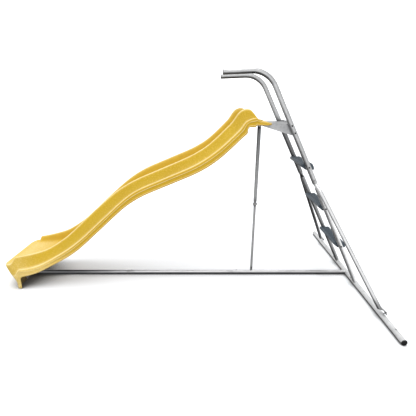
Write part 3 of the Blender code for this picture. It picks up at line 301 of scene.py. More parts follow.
def chute_rows():
    s_end = exit_s()
    # distances of the rows along the guide, closer where the shape turns
    stops = [LIP_START, LIP_START + 0.026, 0.080, 0.105, 0.128, 0.144, 0.153, 0.162, 0.174, 0.190, 0.206, 0.222, 0.240, 0.260, 0.284,
             0.320, 0.380]
    s0 = stops[-1]
    s_drop = None
    lo, hi = GUIDE_LEN * 0.5, GUIDE_LEN
    for _ in range(60):
        mid = (lo + hi) / 2
        if guide(mid)[0] > ROW_DROP:
            lo = mid
        else:
            hi = mid
    s_drop = lo
    n = 24
    stops += [s0 + (s_drop - s0) * i / n for i in range(1, n + 1)]
    rows = [section(s) for s in stops]
    m = 9
    flat = flat_section()
    for i in range(1, m):
        u = i / m
        s = s_drop + (s_end - s_drop) * u
        row = section(s)
        x = guide(s)[0]
        w = smoothstep((-x - 1.540) / (-X_EXIT - 1.540))
        # upper part: walls blend into the flat exit
        f_x = x
        new = []
        for k in range(12):
            fl = [f_x, flat[k][1], flat[k][2]]
            new.append([row[k][c] + (fl[c] - row[k][c]) * w for c in range(3)])
        bx, bz = foot_curve(u)
        tz = flat[11][2]
        f = 0.69 + (0.56 - 0.69) * u
        lx, lz = bx + (x - bx) * f, bz + (tz - bz) * f
        top = new[11]
        out = 0.0075 * (1 - 0.45 * u)
        y_in = ROW_Y[13] + (SIDE_Y - ROW_Y[13]) * w
        new.append([lx + (top[0] - lx) * 0.14, y_in + (top[1] - y_in) * 0.14, lz + (top[2] - lz) * 0.14])
        new.append([lx + (top[0] - lx) * 0.02, y_in, lz + 0.0035])
        new.append([lx, y_in + out, lz - 0.0035])
        mid = 0.46
        new.append([lx + (bx - lx) * mid, y_in + out + 0.0012, lz + (bz - lz) * mid])
        new.append([bx, y_in + out + 0.0035 * (1 - u), bz])
        rows.append(new)
    rows.append(flat)
    return rows


# ---------------------------------------------------------------- small tools
def new_object(name, mesh, mat, slot, *nodes):
    obj = bpy.data.objects.new(name, mesh)
    bpy.context.scene.collection.objects.link(obj)
    mesh.materials.clear()
    mesh.materials.append(mat)
    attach(obj, "root")
    if nodes:
        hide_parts(*nodes)
    return obj


def smooth(obj, angle=40.0):
    obj.data.shade_smooth()
    obj.data.set_sharp_from_angle(angle=math.radians(angle))
    return obj


def attribute(bm, name):
    return bm.verts.layers.float.get(name) or bm.verts.layers.float.new(name)


def frames(points):
    """Directions of travel along a path, and a cross direction carried along without twist."""
    n = len(points)
    tangents = []
    for i in range(n):
        a = points[max(0, i - 1)]
        b = points[min(n - 1, i + 1)]
        tangents.append((b - a).normalized())
    t = tangents[0]
    u = Vector((0, 0, 1)) if abs(t.z) < 0.9 else Vector((0, 1, 0))
    u = (u - t * u.dot(t)).normalized()
    out = []
    for t in tangents:
        u = (u - t * u.dot(t)).normalized()
        out.append((t, u, t.cross(u)))
    return out


def pipe(name, stations, wall, segs=44, end_wear=0.05, open_ends=(True, True)):
    """Hollow pipe through (centre, half width u, half width v[, frame]) stations, its ends eased.

    The 'wear' attribute is 1 at the ends and falls to 0 over `end_wear` metres.
    """
    pts = [s[0] for s in stations]
    fr = frames(pts)
    length = [0.0]
    for a, b in zip(pts, pts[1:]):
        length.append(length[-1] + (b - a).length)
    total = length[-1]
    ease = min(0.0007, wall * 0.4)
    bm = bmesh.new()
    wear = attribute(bm, "wear")
    along = attribute(bm, "along")

    def ring(c, t, u, v, a, b, l, w):
        out = []
        for i in range(segs):
            th = math.tau * i / segs
            p = bm.verts.new(c + u * (a * math.cos(th)) + v * (b * math.sin(th)))
            p[wear] = w
            p[along] = l
            out.append(p)
        return out

    outer, inner = [], []
    for i, st in enumerate(stations):
        c, a, b = st[:3]
        t, u, v = fr[i] if len(st) < 4 else st[3]
        l = length[i]
        w = max(0.0, 1.0 - min(l, total - l) / end_wear)
        if i == 0 and open_ends[0]:
            outer.append(ring(c, t, u, v, a - ease, b - ease, l, 1.0))
            outer.append(ring(c + t * ease, t, u, v, a, b, l, 1.0))
        elif i == len(stations) - 1 and open_ends[1]:
            outer.append(ring(c - t * ease, t, u, v, a, b, l, 1.0))
            outer.append(ring(c, t, u, v, a - ease, b - ease, l, 1.0))
        else:
            outer.append(ring(c, t, u, v, a, b, l, w))
        if b - wall > 0.002:
            inner.append(ring(c, t, u, v, a - wall, b - wall, l, w))
    loops = list(outer)
    if len(inner) == len(stations):
        loops = outer + list(reversed(inner)) + [outer[0]]
        closed = True
    else:
        closed = False
    for p, q in zip(loops, loops[1:]):
        for i in range(segs):
            j = (i + 1) % segs
            bm.faces.new((p[i], p[j], q[j], q[i]))
    if not closed:
        bm.faces.new(outer[-1])
        for p, q in zip(inner, inner[1:]):
            for i in range(segs):
                j = (i + 1) % segs
                bm.faces.new((p[j], p[i], q[i], q[j]))
        bm.faces.new(list(reversed(inner[-1])))
        p, q = outer[0], inner[0]
        for i in range(segs):
            j = (i + 1) % segs
            bm.faces.new((p[j], p[i], q[i], q[j]))
    bmesh.ops.recalc_face_normals(bm, faces=bm.faces)
    mesh = bpy.data.meshes.new(name)
    bm.to_mesh(mesh)
    bm.free()
    return mesh


def straight(a, b, radius, count=14):
    return [(a.lerp(b, i / count), radius, radius) for i in range(count + 1)]


def lathe(name, profile, matrix, segs=56):
    """Closed turned solid; the profile (radius, height) starts and ends on the axis."""
    bm = bmesh.new()
    wear = attribute(bm, "wear")
    rings = []
    rmax = max(r for r, z in profile)
    for r, z in profile:
        if r < 1e-6:
            v = bm.verts.new(matrix @ Vector((0, 0, z)))
            rings.append([v])
        else:
            ring = []
            for i in range(segs):
                th = math.tau * i / segs
                v = bm.verts.new(matrix @ Vector((r * math.cos(th), r * math.sin(th), z)))
                v[wear] = smoothstep((r / rmax - 0.8) / 0.2)
                ring.append(v)
            rings.append(ring)
    for p, q in zip(rings, rings[1:]):
        for i in range(segs):
            j = (i + 1) % segs
            if len(p) == 1:
                bm.faces.new((p[0], q[j], q[i]))
            elif len(q) == 1:
                bm.faces.new((p[i], p[j], q[0]))
            else:
                bm.faces.new((p[i], p[j], q[j], q[i]))
    bmesh.ops.recalc_face_normals(bm, faces=bm.faces)
    mesh = bpy.data.meshes.new(name)
    bm.to_mesh(mesh)
    bm.free()
    return mesh


def place(origin, axis=(0, 0, 1), ref=(1, 0, 0)):
    z = Vector(axis).normalized()
    r = Vector(ref)
    if abs(z.dot(r.normalized())) > 0.99:
        r = Vector((0, 1, 0))
    x = (r - z * r.dot(z)).normalized()
    y = z.cross(x)
    m = Matrix((x, y, z)).transposed().to_4x4()
    m.translation = Vector(origin)
    return m


# ---------------------------------------------------------------- materials
class Nodes:
    """Short forms for building a procedural material."""

    def __init__(self, name):
        self.mat = bpy.data.materials.new(name)
        self.mat.use_nodes = True
        self.nt = self.mat.node_tree
        self.bsdf = self.nt.nodes["Principled BSDF"]
        self.coord = self.nt.nodes.new("ShaderNodeTexCoord")

    def link(self, a, b):
        self.nt.links.new(a, b)

    def put(self, socket, value):
        if hasattr(value, "is_output"):
            self.link(value, socket)
        else:
            socket.default_value = value

    def mapped(self, scale=(1, 1, 1), rotation=(0, 0, 0)):
        m = self.nt.nodes.new("ShaderNodeMapping")
        self.link(self.coord.outputs["Object"], m.inputs["Vector"])
        m.inputs["Scale"].default_value = scale
        m.inputs["Rotation"].default_value = rotation
        return m.outputs["Vector"]

    def noise(self, scale, detail=3.0, rough=0.5, vector=None, distortion=0.0):
        n = self.nt.nodes.new("ShaderNodeTexNoise")
        self.link(vector or self.coord.outputs["Object"], n.inputs["Vector"])
        n.inputs["Scale"].default_value = scale
        n.inputs["Detail"].default_value = detail
        n.inputs["Roughness"].default_value = rough
        n.inputs["Distortion"].default_value = distortion
        return n.outputs["Fac"]

    def voronoi(self, scale, feature="F1", vector=None, output="Distance"):
        n = self.nt.nodes.new("ShaderNodeTexVoronoi")
        n.feature = feature
        self.link(vector or self.coord.outputs["Object"], n.inputs["Vector"])
        n.inputs["Scale"].default_value = scale
        return n.outputs[output]

    def attr(self, name):
        n = self.nt.nodes.new("ShaderNodeAttribute")
        n.attribute_name = name
        return n.outputs["Fac"]

    def math(self, op, a, b=0.5, c=None):
        n = self.nt.nodes.new("ShaderNodeMath")
        n.operation = op
        self.put(n.inputs[0], a)
        self.put(n.inputs[1], b)
        if c is not None:
            self.put(n.inputs[2], c)
        return n.outputs[0]

    def remap(self, value, a, b, lo, hi):
        n = self.nt.nodes.new("ShaderNodeMapRange")
        n.interpolation_type = "SMOOTHSTEP"
        self.put(n.inputs["Value"], value)
        n.inputs["From Min"].default_value = a
        n.inputs["From Max"].default_value = b
        n.inputs["To Min"].default_value = lo
        n.inputs["To Max"].default_value = hi
        return n.outputs[0]

    def mix(self, fac, a, b):
        n = self.nt.nodes.new("ShaderNodeMix")
        n.data_type = "RGBA"
        self.put(n.inputs["Factor"], fac)
        self.put(n.inputs[6], (*a, 1.0) if isinstance(a, tuple) else a)
        self.put(n.inputs[7], (*b, 1.0) if isinstance(b, tuple) else b)
        return n.outputs[2]

    def bump(self, height, distance, normal=None, strength=1.0):
        n = self.nt.nodes.new("ShaderNodeBump")
        n.inputs["Distance"].default_value = distance
        n.inputs["Strength"].default_value = strength
        self.link(height, n.inputs["Height"])
        if normal is not None:
            self.link(normal, n.inputs["Normal"])
        return n.outputs["Normal"]

    def finish(self, colour, roughness, normal, metallic=0.0, **uniform):
        self.put(self.bsdf.inputs["Base Color"], colour)
        self.put(self.bsdf.inputs["Roughness"], roughness)
        self.link(normal, self.bsdf.inputs["Normal"])
        self.put(self.bsdf.inputs["Metallic"], metallic)
        for key, value in uniform.items():
            self.bsdf.inputs[key.replace("_", " ")].default_value = value
        return self.mat


def yellow_material(name="yellow_plastic_fine", under=False):
    """Rotomoulded polyethylene: satin yellow with a stippled grain, painted pale along its crests as painted
    highlights.

    The underside gets painted shade: matt, darker, and near black towards the ground.
    """
    n = Nodes(name)
    cloud = n.noise(2.3, 3.0, 0.55)
    blotch = n.noise(17.0, 4.0, 0.6)
    stipple = n.noise(95.0, 2.0, 0.65)
    fine = n.noise(210.0, 2.0, 0.6)
    scuff = n.noise(38.0, 5.0, 0.7, n.mapped((0.35, 2.2, 1.0)))
    base = n.mix(n.remap(cloud, 0.35, 0.65, 0.0, 1.0), YELLOW_A, YELLOW_B)
    base = n.mix(n.remap(blotch, 0.40, 0.68, 0.0, 0.45), base, YELLOW_C)
    base = n.mix(n.remap(stipple, 0.48, 0.70, 0.0, 0.62), base, YELLOW_D)
    base = n.mix(n.remap(fine, 0.32, 0.56, 0.55, 0.0), base, YELLOW_E)
    # painted shade inside the channel: the bed and far wall are painted deeper
    base = n.mix(n.math("MULTIPLY", n.attr("inner"), n.remap(blotch, 0.3, 0.7, 0.95, 0.75)), base, YELLOW_INNER_SHADE)
    # painted shade in the sunken lines of the skirt
    base = n.mix(n.math("MULTIPLY", n.attr("groove_shade"), 0.70), base, YELLOW_E)
    # painted highlight: the crest lines of the section are painted pale
    line = n.math("POWER", n.attr("ridge_highlight"), 1.5)
    ridge_highlight = n.math("MULTIPLY", line, n.remap(blotch, 0.25, 0.60, 0.72, 1.0))
    base = n.mix(n.math("MULTIPLY", ridge_highlight, 0.92), base, YELLOW_PAINTED_HIGHLIGHT)
    bed = n.attr("bed")
    slid = n.math("MULTIPLY", bed, n.remap(scuff, 0.48, 0.70, 0.25, 1.0))
    base = n.mix(n.math("MULTIPLY", slid, 0.30), base, YELLOW_BED)
    # darker towards the ground
    low_darkening = n.math("MULTIPLY", n.attr("low"), n.remap(blotch, 0.35, 0.7, 0.25, 1.0))
    base = n.mix(n.math("MULTIPLY", low_darkening, 0.16), base, YELLOW_LOW_DARK)
    # painted light: the platforms, the skirt and the sides at the exit are painted paler
    painted_light_mask = n.math("MULTIPLY", n.attr("pale"), n.remap(stipple, 0.34, 0.66, 0.45, 1.0))
    base = n.mix(n.math("MULTIPLY", painted_light_mask, 0.85), base, YELLOW_PAINTED_LIGHT)
    rough = n.math("ADD", n.remap(blotch, 0.3, 0.7, 0.36, 0.48), n.math("MULTIPLY", slid, 0.07))
    rough = n.math("ADD", rough, n.math("MULTIPLY", ridge_highlight, -0.08))
    # painted shade on the inner faces: darker, and near black towards the ground
    if under:
        base = n.mix(n.remap(blotch, 0.3, 0.7, 0.62, 0.80), base, YELLOW_UNDER_SHADE)
        base = n.mix(n.math("MULTIPLY", n.attr("low"), 0.85), base, (0.020, 0.014, 0.005))
        rough = n.remap(blotch, 0.3, 0.7, 0.62, 0.78)
    grain = n.math("ADD", n.voronoi(520.0), n.noise(900.0, 2.0, 0.5))
    nrm = n.bump(cloud, 0.010, None, 0.35)
    nrm = n.bump(n.noise(9.0, 2.0, 0.5), 0.0016, nrm, 0.5)
    nrm = n.bump(stipple, 0.0007, nrm, 0.5)
    nrm = n.bump(grain, 0.00022, nrm, 0.55)
    return n.finish(base, rough, nrm, 0.0, Specular_IOR_Level=0.28, IOR=1.51)


def galvanised(name, light, dark, rough=(0.30, 0.44), metallic=0.9, spangle=46.0, painted_shade=()):
    """Galvanised steel: soft spangle, faint drawing marks, duller and stained towards cut ends.

    Each (axis, from, to, share) band in the last argument is painted shade: the zinc is darkened before `from` along
    the axis, by that share.
    """
    n = Nodes(name)
    cells = n.voronoi(spangle, "F1", n.mapped((1, 1, 1)), "Color")
    sep = n.nt.nodes.new("ShaderNodeSeparateColor")
    n.link(cells, sep.inputs[0])
    cloud = n.noise(5.0, 4.0, 0.6)
    fine = n.noise(220.0, 3.0, 0.6)
    streak = n.noise(60.0, 4.0, 0.65, n.mapped((0.25, 1.0, 0.25)))
    t = n.math("ADD", n.math("MULTIPLY", sep.outputs[0], 0.30), n.math("MULTIPLY", n.remap(cloud, 0.3, 0.7, 0.0, 1.0), 0.55))
    t = n.math("ADD", t, n.math("MULTIPLY", streak, 0.22))
    base = n.mix(t, dark, light)
    if painted_shade:
        axes = n.nt.nodes.new("ShaderNodeSeparateXYZ")
        n.link(n.coord.outputs["Object"], axes.inputs[0])
        level = 0.0
        for axis, first, last, share in painted_shade:
            level = n.math("MAXIMUM", level, n.remap(axes.outputs[axis], first, last, share, 0.0))
        # painted shade: the zinc is darkened where shade falls on the tube
        base = n.mix(level, base, ZINC_PAINTED_SHADE)
    stain = n.math("MULTIPLY", n.attr("wear"), n.remap(fine, 0.35, 0.65, 0.3, 1.0))
    base = n.mix(n.math("MULTIPLY", stain, 0.45), base, STAIN)
    r = n.math("ADD", n.remap(cloud, 0.3, 0.7, rough[0], rough[1]), n.math("MULTIPLY", sep.outputs[1], 0.05))
    r = n.math("ADD", r, n.math("MULTIPLY", stain, 0.10))
    nrm = n.bump(n.noise(14.0, 3.0, 0.5), 0.0010, None, 0.30)
    nrm = n.bump(streak, 0.00035, nrm, 0.30)
    nrm = n.bump(fine, 0.00010, nrm, 0.40)
    return n.finish(base, r, nrm, metallic)


def moulded(name, a, b, worn, rough=(0.45, 0.62), grain=430.0, depth=0.00030):
    """Grained moulded plastic, scuffed along its edges."""
    n = Nodes(name)
    cloud = n.noise(12.0, 4.0, 0.6)
    fine = n.noise(190.0, 3.0, 0.6)
    base = n.mix(n.remap(cloud, 0.3, 0.7, 0.0, 1.0), a, b)
    scuff = n.math("MULTIPLY", n.attr("wear"), n.remap(fine, 0.42, 0.66, 0.15, 1.0))
    base = n.mix(n.math("MULTIPLY", scuff, 0.55), base, worn)
    r = n.math("ADD", n.remap(cloud, 0.3, 0.7, rough[0], rough[1]), n.math("MULTIPLY", fine, 0.06))
    nrm = n.bump(n.math("ADD", n.voronoi(grain), n.noise(grain * 1.7, 2.0, 0.5)), depth, None, 0.6)
    return n.finish(base, r, nrm, 0.0)


def plated(name, a, b, rough, metallic=1.0):
    """Small plated or blackened fastener."""
    n = Nodes(name)
    cloud = n.noise(160.0, 4.0, 0.65)
    fine = n.noise(900.0, 2.0, 0.6)
    base = n.mix(n.remap(cloud, 0.35, 0.68, 0.0, 1.0), a, b)
    r = n.remap(cloud, 0.3, 0.7, rough[0], rough[1])
    nrm = n.bump(fine, 0.00008, None, 0.5)
    return n.finish(base, r, nrm, metallic)


YELLOW_A = (0.670, 0.422, 0.014)
YELLOW_B = (0.720, 0.470, 0.018)
YELLOW_C = (0.700, 0.460, 0.024)
YELLOW_D = (0.870, 0.600, 0.100)
YELLOW_E = (0.560, 0.330, 0.010)
YELLOW_PAINTED_HIGHLIGHT = (1.000, 0.900, 0.560)
YELLOW_INNER_SHADE = (0.560, 0.350, 0.012)
YELLOW_BED = (0.860, 0.640, 0.190)
YELLOW_LOW_DARK = (0.430, 0.290, 0.090)
YELLOW_PAINTED_LIGHT = (0.830, 0.650, 0.260)
YELLOW_UNDER_SHADE = (0.200, 0.120, 0.010)
STAIN = (0.280, 0.275, 0.265)
# colour of the painted shade on the tubes
ZINC_PAINTED_SHADE = (0.110, 0.112, 0.116)

M_YELLOW = yellow_material()
# painted-shade copy for the inner faces of the wall
M_YELLOW_UNDER = yellow_material("yellow_plastic_under", True)
M_TUBE = galvanised("galvanised_tube_fine", (0.80, 0.805, 0.81), (0.58, 0.585, 0.59), (0.28, 0.40), 0.88)
# far handrail: shaded copy, with painted shade below the deck
# lit and shaded copies of the finish above: lighter base tones are painted light, darker ones painted shade, and the
# bands paint shade where it falls
M_TUBE_RAIL = galvanised("galvanised_rail_fine", (0.62, 0.625, 0.63), (0.42, 0.425, 0.43), (0.26, 0.38), 0.90, painted_shade=[("Z", 1.50, 1.56, 0.80)])
# near handrail: shaded copy
M_TUBE_HAND = galvanised("galvanised_hand_fine", (0.64, 0.645, 0.65), (0.44, 0.445, 0.45), (0.26, 0.38), 0.90)
# far lower stile and far brace: painted shade over all of them
M_TUBE_STILE = galvanised("galvanised_stile_fine", (0.80, 0.805, 0.81), (0.58, 0.585, 0.59), (0.28, 0.40), 0.88, painted_shade=[("Z", 1.6, 2.0, 0.62)])
# near lower stile: lit copy, with painted shade at its foot
M_TUBE_BRIGHT = galvanised("galvanised_bright_fine", (0.92, 0.925, 0.93), (0.74, 0.745, 0.75), (0.26, 0.38), 0.80, painted_shade=[("Z", 0.006, 0.020, 0.60)])
# crossbar: painted shade along its underside
M_TUBE_CROSS = galvanised("galvanised_cross_fine", (0.78, 0.785, 0.79), (0.57, 0.575, 0.58), (0.44, 0.58), 0.60, painted_shade=[("Z", 0.004, 0.018, 0.50)])
# near brace: painted shade at its foot
M_TUBE_BRACE = galvanised("galvanised_brace_fine", (0.80, 0.805, 0.81), (0.60, 0.605, 0.61), (0.26, 0.38), 0.88, painted_shade=[("Z", 0.10, 0.20, 0.74)])
# base rails: shaded copy, with painted shade on their lower half and under the chute
M_TUBE_BASE = galvanised("galvanised_base_fine", (0.74, 0.745, 0.75), (0.54, 0.545, 0.55), (0.28, 0.40), 0.88,
                         painted_shade=[("Z", 0.020, 0.037, 0.80), ("X", -1.20, -0.30, 0.94)])
# lower strut: shaded copy, with painted shade towards the deck
M_TUBE_STRUT_LOW = galvanised("galvanised_strut_low_fine", (0.50, 0.505, 0.51), (0.34, 0.345, 0.35), (0.30, 0.42), 0.90, painted_shade=[("Z", 0.90, 0.55, 0.45)])
# upper strut: shaded copy, with painted shade growing towards the deck
M_TUBE_STRUT = galvanised("galvanised_strut_fine", (0.44, 0.445, 0.45), (0.30, 0.305, 0.31), (0.28, 0.40), 0.90, painted_shade=[("Z", 1.60, 0.70, 0.88)])
M_SHEET = galvanised("galvanised_sheet_fine", (0.60, 0.605, 0.61), (0.28, 0.285, 0.295), (0.34, 0.50), 0.85, 52.0)
M_SLATE = moulded("slate_plastic_fine", (0.028, 0.044, 0.062), (0.050, 0.070, 0.090), (0.20, 0.230, 0.26), (0.36, 0.50))
M_SLATE.node_tree.nodes["Principled BSDF"].inputs["Specular IOR Level"].default_value = 0.30
M_BLACK = moulded("black_plastic_fine", (0.008, 0.008, 0.009), (0.014, 0.014, 0.015), (0.05, 0.05, 0.05), (0.55, 0.70))
M_BLACK.node_tree.nodes["Principled BSDF"].inputs["Specular IOR Level"].default_value = 0.15
M_GREY = moulded("grey_plastic_fine", (0.22, 0.225, 0.23), (0.29, 0.295, 0.30), (0.45, 0.45, 0.45), (0.4, 0.55))
M_ZINC = plated("zinc_bolt_fine", (0.30, 0.30, 0.31), (0.46, 0.46, 0.46), (0.28, 0.45))
M_DARK = plated("dark_bolt_fine", (0.016, 0.016, 0.018), (0.045, 0.045, 0.047), (0.32, 0.5), 0.6)
SLOT_MATERIALS = {"yellow_plastic": M_YELLOW, "galvanised_tube": M_TUBE, "galvanised_sheet": M_SHEET,
                  "slate_plastic": M_SLATE, "black_plastic": M_BLACK, "grey_plastic": M_GREY,
                  "zinc_bolt": M_ZINC, "dark_bolt": M_DARK}
# painted light and shade per part: the near lower stile takes the lit copy, the far one the shaded copy, crossbar and
# base rails their painted-shade bands
NODE_MATERIALS = {"lower_stile_far": M_TUBE_STILE, "lower_stile_near": M_TUBE_BRIGHT, "ground_crossbar": M_TUBE_CROSS,
                  "base_rail_front": M_TUBE_BASE, "base_rail_rear": M_TUBE_BASE}
for entry in frame["record"]["subparts"]:
    node = frame["nodes"].get(entry["node"])
    if node is not None and node.type == "MESH":
        node.data.materials.clear()
        node.data.materials.append(NODE_MATERIALS.get(entry["node"]) or SLOT_MATERIALS[entry["material_slot"]])
        for poly in node.data.polygons:
            poly.material_index = 0


# ---------------------------------------------------------------- chute
STEPS = [float(k) for k in range(15)] + [14.36, 14.50, 14.64, 15.0, 15.46, 15.60, 15.74, 16.0]
BEAD = {14.50: 0.0026, 15.60: 0.0030}
# painted highlight: how strongly each line across the section is painted pale where it would catch the light
RIDGE_HIGHLIGHT = {7.0: 0.10, 8.0: 0.45, 9.0: 1.0, 10.0: 0.45, 12.0: 0.10, 13.0: 0.90, 14.0: 0.12, 14.50: 0.95, 15.60: 1.0, 16.0: 0.15}
# painted shade: how dark each line of the skirt is painted where it sits back between the beads
GROOVE_SHADE = {13.0: 0.0, 14.0: 0.75, 14.36: 0.85, 14.50: 0.0, 14.64: 0.8, 15.0: 0.8, 15.46: 0.8, 15.60: 0.0, 15.74: 0.8, 16.0: 1.0}
BED = (1, 1, 1, 1, 0.8, 0.4, 0.1, 0, 0, 0, 0, 0, 0, 0, 0, 0, 0)
# painted shade inside the channel, per line across the section
INNER_SHADE = (0.3, 0.3, 0.3, 0.4, 0.7, 1, 1, 1, 0.8, 0, 0, 0, 0, 0, 0, 0, 0)


def between(values, pos):
    """Value of a list at a fractional place."""
    i = min(int(pos), len(values) - 2)
    return values[i] + (values[i + 1] - values[i]) * (pos - i)


def chute_cage():
    rows = chute_rows()
    r = 0.055
    half = ROW_Y[-1]
    for row, depth in ((rows[0], 0.0), (rows[1], 0.026)):
        inset = r - math.sqrt(max(0.0, r * r - (r - min(depth, r)) ** 2))
        scale = (half - inset) / half
        for p in row:
            p[1] *= scale
    bm = bmesh.new()
    ridge_highlight, bed, low = attribute(bm, "ridge_highlight"), attribute(bm, "bed"), attribute(bm, "low")
    inner, pale, groove_shade = attribute(bm, "inner"), attribute(bm, "pale"), attribute(bm, "groove_shade")

    def vert(p, k, w=1.0):
        v = bm.verts.new(p)
        # painted light: the platforms at the exit and the top, the skirt and the sides at the exit are marked to be
        # painted paler
        platform = between(BED, k) * max(smoothstep((-v.co.x - 1.30) / 0.22), 0.7 * smoothstep((v.co.x - 0.56) / 0.10))
        skirt = smoothstep((k - 13.1) / 0.5) * smoothstep((-v.co.x - 0.85) / 0.6)
        side = 0.45 * smoothstep((k - 8.0) / 1.5) * smoothstep((-v.co.x - 1.35) / 0.2)
        v[pale] = max(platform, skirt, side)
        # painted shade in the sunken lines of the skirt, less towards the exit
        v[groove_shade] = GROOVE_SHADE.get(k, 0.0) * (1.0 - 0.7 * smoothstep((-v.co.x - 1.1) / 0.4))
        # painted highlight along the crest lines
        v[ridge_highlight] = RIDGE_HIGHLIGHT.get(k, 0.0) * w
        v[bed] = between(BED, k)
        # painted shade inside the channel, not at the exit
        v[inner] = between(INNER_SHADE, k) * smoothstep((v.co.x + 1.60) / 0.10)
        v[low] = smoothstep((0.16 - v.co.z) / 0.16)
        return v

    grid = []
    for row in rows:
        out = []
        depth = (Vector(row[14]) - Vector(row[16])).length
        for k in STEPS:
            p = Vector([between([q[c] for q in row], k) for c in range(3)])
            p.y += BEAD.get(k, 0.0) * smoothstep((depth - 0.018) / 0.02)
            out.append(vert(p, k, 0.5 if depth < 0.02 and k > 13 else 1.0))
        grid.append(out)
    for i in range(len(grid) - 1):
        for k in range(len(STEPS) - 1):
            bm.faces.new((grid[i][k], grid[i + 1][k], grid[i + 1][k + 1], grid[i][k + 1]))
    last = grid[-1]
    yc = SIDE_Y - CORNER_R
    walls = [k - 12.0 for k in STEPS if k >= 12.0]
    levels = [("disc", r) for r in DISC_R[1:]] + [("roll", p) for p in ROLL_PHI] + [("wall", i) for i in walls]
    level_k = [4, 4, 4, 8, 9.0, 10.0, 11] + [12.0 + w for w in walls]
    frac = [y / yc for y in (0.0, 0.062, 0.118, 0.158)] + [1.0]
    cols = [[last[j]] for j in range(5)]
    for li, (kind, val) in enumerate(levels):
        for j, f in enumerate(frac):
            if kind == "disc":
                co = (X_EXIT - val, yc * f, ZT)
            elif kind == "roll":
                a = math.radians(val)
                co = (FRONT_X + ROLL_R - ROLL_R * math.sin(a), yc * f, ZT - ROLL_R + ROLL_R * math.cos(a))
            else:
                z = between(WALL_FRONT_Z, val)
                co = (front_x(z), (SIDE_Y - corner_r(z)) * f, z)
            cols[j].append(vert(co, level_k[li], 0.85 if kind == "roll" else 0.12))
    for j in range(4):
        for i in range(len(levels)):
            bm.faces.new((cols[j][i], cols[j][i + 1], cols[j + 1][i + 1], cols[j + 1][i]))
    prev = cols[4]
    for t in (22.5, 45.0, 67.5, 90.0):
        th = math.radians(t)
        if t == 90.0:
            cur = [last[4]] + last[5:]
        else:
            cur = [last[4]]
            for li, (kind, val) in enumerate(levels):
                if kind == "disc":
                    co = (X_EXIT - val * math.cos(th), yc + val * math.sin(th), ZT)
                elif kind == "roll":
                    a = math.radians(val)
                    rp = CORNER_R - ROLL_R + ROLL_R * math.sin(a)
                    co = (X_EXIT - rp * math.cos(th), yc + rp * math.sin(th),
                          ZT - ROLL_R + ROLL_R * math.cos(a) + roll_rise(val, t))
                else:
                    wgt = smoothstep(t / 90.0)
                    z = between(WALL_FRONT_Z, val) + (between(WALL_SIDE_Z, val) - between(WALL_FRONT_Z, val)) * wgt
                    rr = corner_r(z)
                    out = (between(SIDE_OUT, val) + BEAD.get(val + 12.0, 0.0)) * max(0.0, (t - 40.0) / 50.0)
                    co = (front_x(z) + rr - (rr + out) * math.cos(th), SIDE_Y - rr + (rr + out) * math.sin(th), z)
                cur.append(vert(co, level_k[li], 0.8 if t > 40 or kind == "roll" else 0.3))
        for i in range(len(levels)):
            if i == 0:
                bm.faces.new((prev[0], prev[1], cur[1]))
            else:
                bm.faces.new((prev[i], prev[i + 1], cur[i + 1], cur[i]))
        prev = cur
    # the other half
    verts = list(bm.verts)
    for v in verts:
        v.co.z = max(v.co.z, 0.0005)
    both = bmesh.ops.duplicate(bm, geom=verts + list(bm.edges) + list(bm.faces))
    other = [e for e in both["geom"] if isinstance(e, bmesh.types.BMVert)]
    for v in other:
        v.co.y = -v.co.y
    bmesh.ops.remove_doubles(bm, verts=bm.verts, dist=0.0001)
    bmesh.ops.recalc_face_normals(bm, faces=bm.faces)
    f0 = min(bm.faces, key=lambda f: (f.calc_center_median() - Vector((0.68, 0.03, 1.51))).length)
    if f0.normal.z < 0:
        bmesh.ops.reverse_faces(bm, faces=bm.faces)
    mesh = bpy.data.meshes.new("chute_shell")
    bm.to_mesh(mesh)
    bm.free()
    return mesh


def through_points(mesh, levels, passes=4):
    """Move a cage so that its smooth surface passes through the cage's own points."""
    goal = [v.co.copy() for v in mesh.vertices]
    probe = bpy.data.objects.new("probe", mesh)
    bpy.context.scene.collection.objects.link(probe)
    sub = probe.modifiers.new("smooth", "SUBSURF")
    sub.levels = levels
    sub.boundary_smooth = "PRESERVE_CORNERS"
    for _ in range(passes):
        bpy.context.view_layer.update()
        now = probe.evaluated_get(bpy.context.evaluated_depsgraph_get()).data
        for v, g in zip(mesh.vertices, goal):
            off = v.co + (g - now.vertices[v.index].co) * 0.6 - g
            v.co = g + off * min(1.0, 0.005 / max(off.length, 1e-9))
        mesh.update()
    bpy.data.objects.remove(probe)
    return mesh


chute = new_object("chute_shell", through_points(chute_cage(), 2), M_YELLOW, "yellow_plastic", "slide_chute")
mod = chute.modifiers.new("smooth", "SUBSURF")
mod.levels = mod.render_levels = 2
mod.boundary_smooth = "PRESERVE_CORNERS"
# the inner faces of the wall take the painted-shade underside material
chute.data.materials.append(M_YELLOW_UNDER)
mod = chute.modifiers.new("wall", "SOLIDIFY")
mod.thickness = CHUTE_T
mod.offset = -1.0
mod.material_offset = 1
mod = chute.modifiers.new("edge", "BEVEL")
mod.width = 0.0012
mod.segments = 2
mod.limit_method = "ANGLE"
mod.angle_limit = math.radians(60)
chute.data.shade_smooth()
chute.visible_glossy = False

